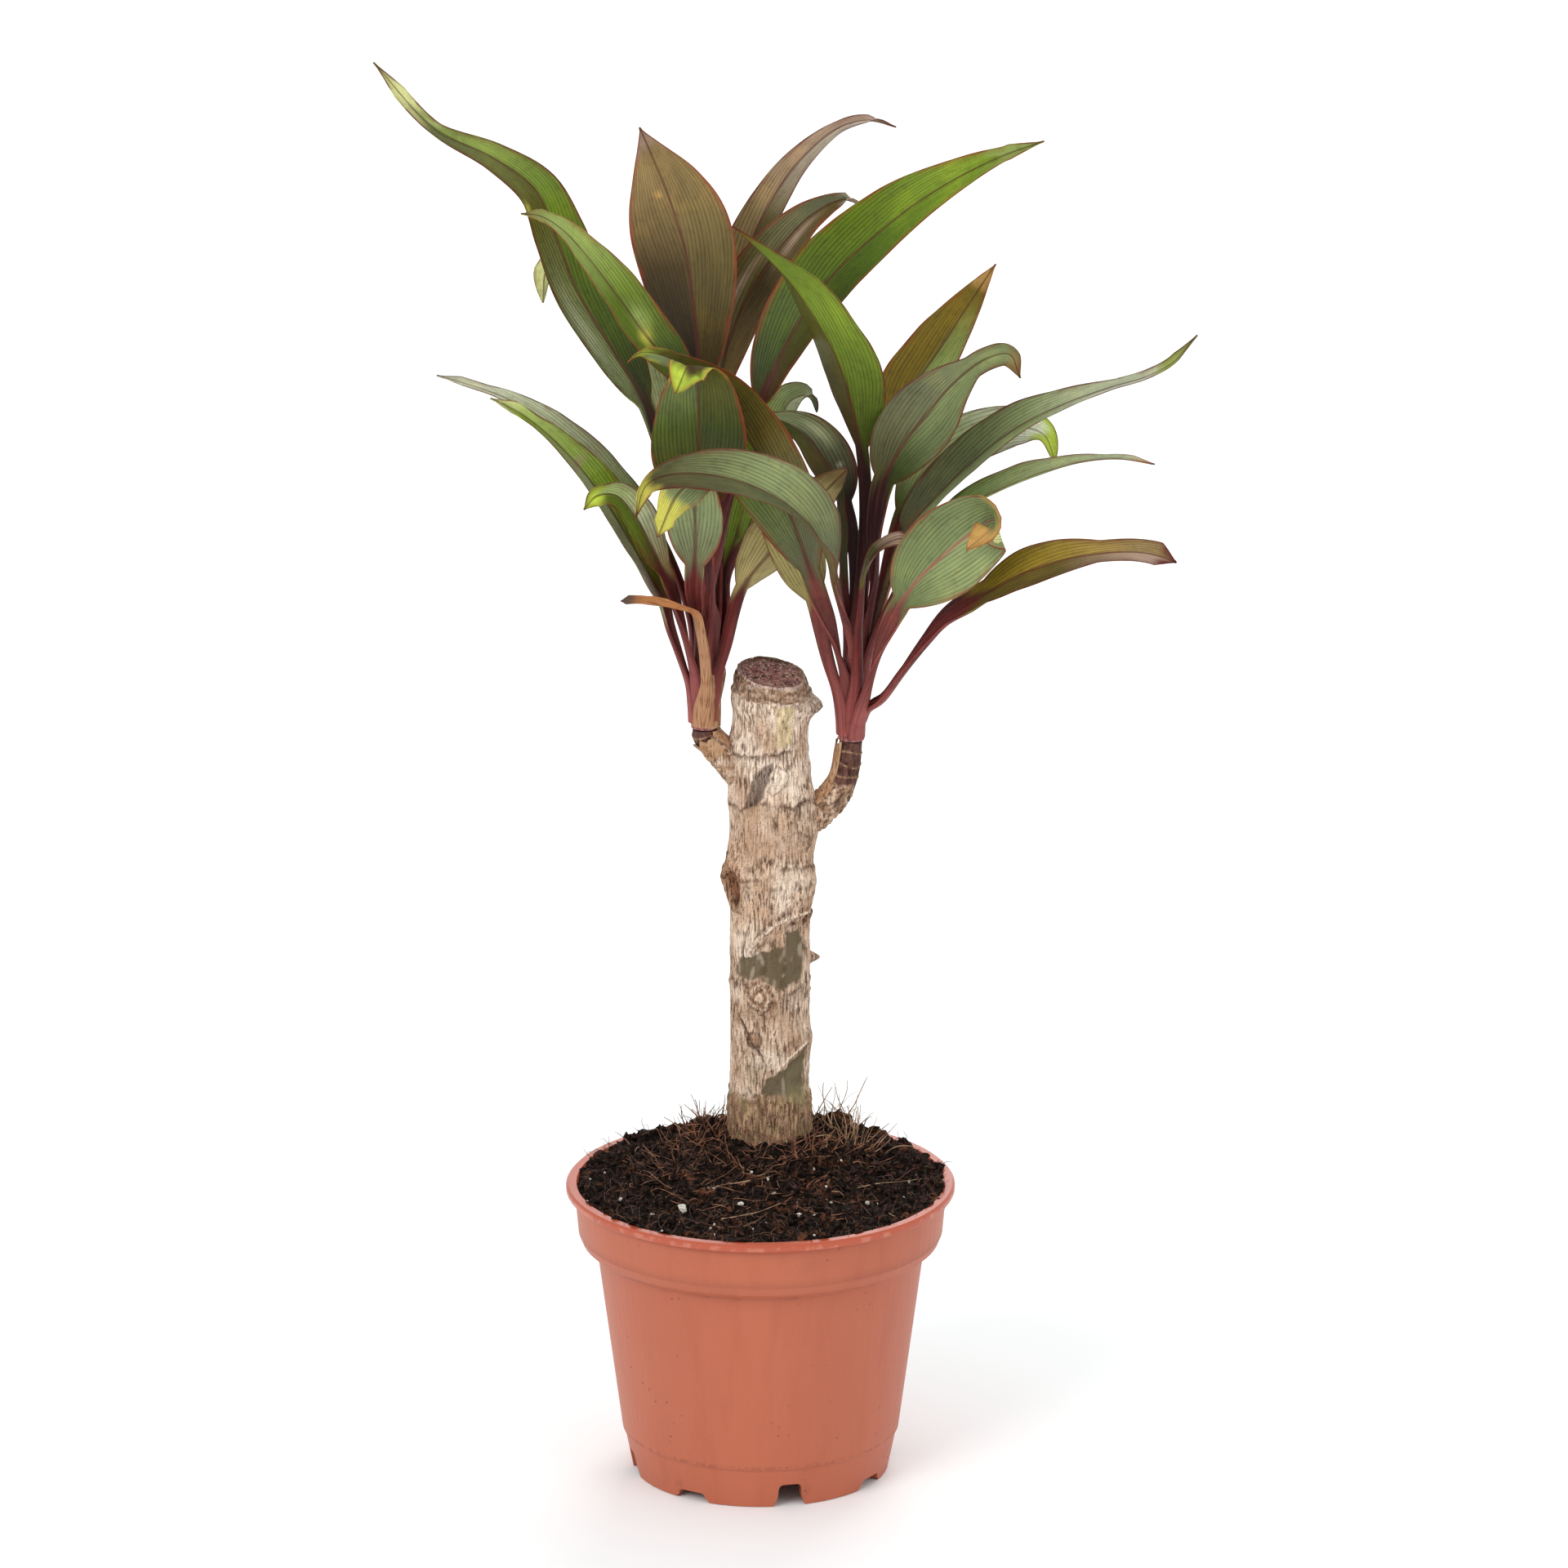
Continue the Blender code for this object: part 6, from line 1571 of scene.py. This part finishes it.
def leaf_skin(leaf, stem, seed):
    """Points of a leaf's upper and lower face, its faces, and the facts that its finish needs."""
    leaf = {**USUAL_LEAF, **leaf}
    spots, sides, ups, u, v, run = leaf_frame(leaf, stem)
    clasp, top_width = leaf["clasp"], leaf["stalk_top"]
    middle_width = min(top_width, STALK_WIDTH)
    stalk = np.interp(v, [0, 0.15, 0.4, 1.0], [clasp, clasp * 0.85, middle_width, top_width])
    stalk *= np.clip((1.0 - u) * 12.0, 0.0, 1.0)
    share = blade_share(u, leaf["widest"], leaf["base"], leaf["point"])
    width = np.maximum(np.maximum(stalk, np.where(u > 0, leaf["width"] * share, 0.0)), 0.5)
    half = width[:, None] / 2
    q = np.sin(np.linspace(-0.5, 0.5, ACROSS) * math.pi)[None, :]
    q = 0.55 * q + 0.45 * np.linspace(-1, 1, ACROSS)[None, :]

    curl = np.radians(np.interp(v, [0, 0.4, 1.0], [50.0, 66.0, 44.0]))[:, None]
    arc = half / curl
    arc_side, arc_up = arc * np.sin(curl * q), arc * (1 - np.cos(curl * q))
    fold = math.radians(leaf["fold"])
    fold_side, fold_up = half * q * math.cos(fold), half * np.abs(q) ** 1.35 * math.sin(fold)
    opened = ease(u, 0.0, 0.24)[:, None]
    place = np.stack([run[:, None] + 0 * q, half * q, 0 * half * q], axis=-1)
    ripple = 0.9 * lumps(place, (16.0, 30.0, 9.0), seed) + 0.35 * lumps(place, (7.0, 20.0, 9.0), seed + 1)
    ripple = ripple * q**2
    ripple *= np.clip(width[:, None] / 20.0, 0, 1) * opened * np.clip((1 - u[:, None]) * 5, 0, 1)
    across = arc_side * (1 - opened) + fold_side * opened
    upward = arc_up * (1 - opened) + fold_up * opened + ripple
    sheet = spots[:, None, :] + sides[:, None, :] * across[..., None] + ups[:, None, :] * upward[..., None]

    normals = np.cross(np.gradient(sheet, axis=0), np.gradient(sheet, axis=1))
    normals /= np.linalg.norm(normals, axis=2)[..., None] + 1e-9
    normals *= np.where((normals * ups[:, None, :]).sum(axis=2) < 0, -1.0, 1.0)[..., None]
    rib = (0.35 + 0.75 * np.clip(1 - u, 0, 1))[:, None]
    deep = leaf["stalk_thick"] + (BLADE_THICK - leaf["stalk_thick"]) * ease(u, -0.02, 0.14)[:, None]
    thick = deep * (1 - 0.55 * q**2)
    keel = 0.8 * rib * np.exp(-((half * q / rib) ** 2)) * opened
    upper = sheet + normals * (thick / 2 - 0.3 * keel)[..., None]
    lower = sheet - normals * (thick / 2 + 0.6 * keel)[..., None]

    points, faces = shell(upper, lower)
    both = np.ones((2, 1, 1))
    flat = dict(
        rib=np.abs(q) * half / rib,
        edge=(1 - np.abs(q)) * half,
        vein=np.abs(q) * leaf["width"] / 2 * (1 + 0 * half) - 0.09 * run[:, None],
        run=run[:, None] + 0 * q,
        stalk=1 - ease(u, -0.02, 0.10)[:, None] + 0 * q,
    )
    facts = {name: (both * values[None]).ravel() for name, values in flat.items()}
    facts["under"] = np.repeat([0.0, 1.0], len(u) * ACROSS)
    return points, faces, facts, (u, v, q, place)


# %% A leaf's paint
TONE_STOPS = [0.08, 0.48, 0.85]  # where along the blade its three tones are whole


def face_paint(near_tones, far_tones, u, q):
    """One face of a blade: three tones along each half, the near one first."""
    near, far = (read_off(u, TONE_STOPS, tones)[:, None, :] for tones in (near_tones, far_tones))
    return painted(near + 0 * q[..., None], (far, ease(q, -0.08, 0.08)))


def leaf_tint(look, u, v, q, place, seed):
    """The colour of each point of a leaf: its upper face, then its back."""
    q = q + 0 * u[:, None]
    back = look.get("back_near", (look["back"],) * 3)
    from_u, rosy = look["tip_from"], look["rosy"]
    wander = u[:, None] + 0.05 * lumps(place, (5.0, 2.0, 5.0), seed + 2) + 0.03 * q**2
    tip = ease(wander, from_u - 0.04, from_u + 0.05)
    cloud = lumps(place, (18.0, 6.0, 9.0), seed + 3)
    streak = lumps(place, (26.0, 0.8, 5.0), seed + 4)
    base = (1 - ease(u[:, None] + 0.12 * np.abs(q) + 0.02 * streak, 0.0, 0.15)) + 0 * q
    low_down = (1 - ease(v, 0.15, 0.7))[:, None] + 0 * q
    stalk = painted(
        np.broadcast_to(look["stalk"], q.shape + (4,)),
        (ROSE, rosy * low_down),
        (ROSE, 0.30 * rosy * ease(streak, 0.0, 0.4)),
        # WINE darkens the stalk along its streaks, its own colour, and towards both edges, painted shade that
        # makes it look round.
        (WINE, 0.35 * ease(-streak, 0.1, 0.45) + 0.4 * ease(np.abs(q), 0.55, 0.9)),
        (ROSE, 0.5 * rosy * ease(np.abs(q), 0.9, 1.0)),
    )
    sheets = []
    for near_tones, far_tones in (
        (look["face"], look.get("far", look["face"])),
        (back, look.get("back_far", back)),
    ):
        sheet = face_paint(near_tones, far_tones, u, q) * (1 + 0.20 * cloud + 0.14 * streak)[..., None]
        sheet = painted(sheet, (look["tip"], tip))
        if "margin" in look:
            edge_here = ease(np.abs(q), 0.82, 0.98) * ease(wander, from_u - 0.12, from_u)
            sheet = painted(sheet, (look["margin"], edge_here))
        for along, across, tall, wide, tone in look["spots"]:
            near_spot = np.exp(-(((u[:, None] - along) / tall) ** 2) - ((q - across) / wide) ** 2)
            sheet = painted(sheet, (tone, 0.85 * near_spot))
        sheets.append(painted(sheet, (stalk, base)))
    tints = np.concatenate([sheet.reshape(-1, 4) for sheet in sheets])
    tints[:, 3] = 1.0
    return np.clip(tints, 0.0, 1.0)


# %% [markdown]
# ## The leaf finish
# One material serves all the leaves, because the paint is stored on each mesh. It adds what is too fine
# to paint by points: side veins a little over a millimetre apart, finer ones between them, the midrib,
# the thin red margin and a blush beside it, a mottle and a waxy sheen. The lines come from each point's
# distance in millimetres from the midrib, from the margin and along the blade.

# %% Leaf finish
VEIN_STEP = 1.25
# Each of these multiplies the leaf's tint: above 1 is lighter, below 1 darker.
VEIN_SHADE = (0.40, 0.28, 0.26, 1)
HAIR_SHADE = (0.70, 0.70, 0.66, 1)
# Between the veins the leaf is greener, its own colour, and lighter, a painted sheen.
STRIPE_GREEN_AND_SHEEN = (1.28, 1.38, 1.16, 1)
MOTTLE_SHADE = (0.74, 0.72, 0.68, 1)
CLOUD_LIGHT = (1.26, 1.22, 1.12, 1)

leaf_wax = Finish("leaf", Specular_IOR_Level=0.28)
vein, run, stalk, under = (leaf_wax.fact(name) for name in ("vein", "run", "stalk", "under"))
hem_tint = leaf_wax.fact("hem_tint", "Color")
to_margin = leaf_wax.fact("edge")
grain_place = leaf_wax.make("ShaderNodeCombineXYZ", None, {"X": vein, "Y": run * 0.05})
wander = grain_place.noise(0.8, 2.0)
fibre = grain_place.noise(2.6, 4.0)
ridge = abs((vein * (1 / VEIN_STEP) + wander * 0.6) % 1 - 0.5) * 2
line = ridge.step(0.68, 0.98)
hair = (abs((vein * (3 / VEIN_STEP) + wander * 1.8) % 1 - 0.5) * 2).step(0.5, 1.0)
strength = fibre.step(0.32, 0.62) * 0.85 + 0.15
mottle = leaf_wax.place.noise(420.0, 5.0)
cloudy = leaf_wax.place.noise(90.0, 3.0)
midrib = 1 - leaf_wax.fact("rib").step(0.4, 0.95)
hem = 1 - (to_margin + (fibre - 0.5) * 0.5).step(0.2, 0.65)
hem_here = leaf_wax.place.noise(120.0, 3.0).step(0.35, 0.62) * 0.65 + 0.2
blush = (1 - to_margin.step(0.2, 2.4)) * cloudy.step(0.38, 0.62) * (1 - stalk)
tone = leaf_wax.layered(
    leaf_wax.fact("tint", "Color"),
    (VEIN_SHADE, line * strength * (1 - stalk * 0.6) * 0.9, "MULTIPLY"),
    (HAIR_SHADE, hair * (1 - stalk) * 0.5, "MULTIPLY"),
    # Greener and lighter between the veins: the leaf's colour and a painted sheen.
    (STRIPE_GREEN_AND_SHEEN, ridge.step(0.45, 0.0) * 0.8, "MULTIPLY"),
    (MOTTLE_SHADE, mottle.step(0.5, 0.7) * 0.6, "MULTIPLY"),
    (CLOUD_LIGHT, cloudy.step(0.5, 0.7) * 0.8, "MULTIPLY"),
    (leaf_wax.fact("rib_tint", "Color"), midrib * 0.65 * (1 - stalk * 0.8)),
    (hem_tint, hem * hem_here * (1 - stalk * 0.7)),
    (hem_tint, blush * 0.4),
)
relief = ridge * 0.5 + fibre * 0.35 - hair * 0.2 + mottle * 0.2
gloss = 0.34 + mottle * 0.16 + under * 0.16 + hem * 0.1
leaf_wax.wear(Base_Color=tone, Roughness=gloss, Normal=leaf_wax.bump(relief, 0.22))


# %% Dress each leaf
def dress_leaf(name, leaf, look, stem, seed):
    """One leaf's skin with its own paint, in place of its CAD solid."""
    look = {**USUAL_LOOK, **look}
    points, faces, facts, (u, v, q, place) = leaf_skin(leaf, stem, seed)
    facts["tint"] = leaf_tint(look, u, v, q, place, seed)
    facts["rib_tint"] = np.tile(look["rib"], (len(points), 1))
    facts["hem_tint"] = np.tile(look["hem"], (len(points), 1))
    add_piece(name + "_skin", points, faces, leaf_wax.material, [name], facts)


for shoot, looks, stem in ((LEFT_LEAVES, LEFT_LOOKS, LEFT_STEM), (RIGHT_LEAVES, RIGHT_LOOKS, RIGHT_STEM)):
    for seed, (name, look) in enumerate(looks.items()):
        dress_leaf(name, shoot[name], look, stem, seed + 60 + len(shoot))

# %% [markdown]
# ## The dry leaf
# One low leaf has died. Its sheath still stands, tan and papery with brown lines, and its blade has bent
# over and shrivelled. It is the same construction with its own colours, wider at the clasp.

# %% Dry leaf
DRY_TAN = shade(168, 122, 88)
DRY_ORANGE = shade(172, 110, 62)
DRY_GREY = shade(92, 66, 54)
BLOTCH_SHADE = (0.7, 0.62, 0.55, 1)

straw_leaf = Finish("dry_leaf", Roughness=0.8, Specular_IOR_Level=0.3)
vein, run = straw_leaf.fact("vein"), straw_leaf.fact("run")
lines = straw_leaf.make("ShaderNodeCombineXYZ", None, {"X": vein, "Y": run * 0.05}).noise(2.4, 4.0)
blotch = straw_leaf.place.noise(300.0, 4.0)
tone = straw_leaf.layered(
    straw_leaf.fact("tint", "Color"),
    (shade(92, 52, 34), lines.step(0.50, 0.68) * 0.8),
    (shade(206, 170, 124), lines.step(0.46, 0.30) * 0.45),
    (BLOTCH_SHADE, blotch.step(0.5, 0.7) * 0.6, "MULTIPLY"),
)
straw_leaf.wear(Base_Color=tone, Normal=straw_leaf.bump(lines + blotch * 0.3, 0.4))
points, faces, facts, (u, v, q, place) = leaf_skin(LEFT_LEAVES["leaf_left_dry"], LEFT_STEM, 90)
dry_tint = painted(
    np.broadcast_to(DRY_TAN, place.shape[:2] + (4,)),
    (DRY_ORANGE, ease(u, -0.2, 0.15)[:, None] + 0 * q),
    (DRY_GREY, ease(u, 0.75, 0.9)[:, None] + 0 * q),
)
facts["tint"] = np.concatenate([dry_tint.reshape(-1, 4)] * 2)
add_piece("leaf_left_dry_skin", points, faces, straw_leaf.material, ["leaf_left_dry"], facts)
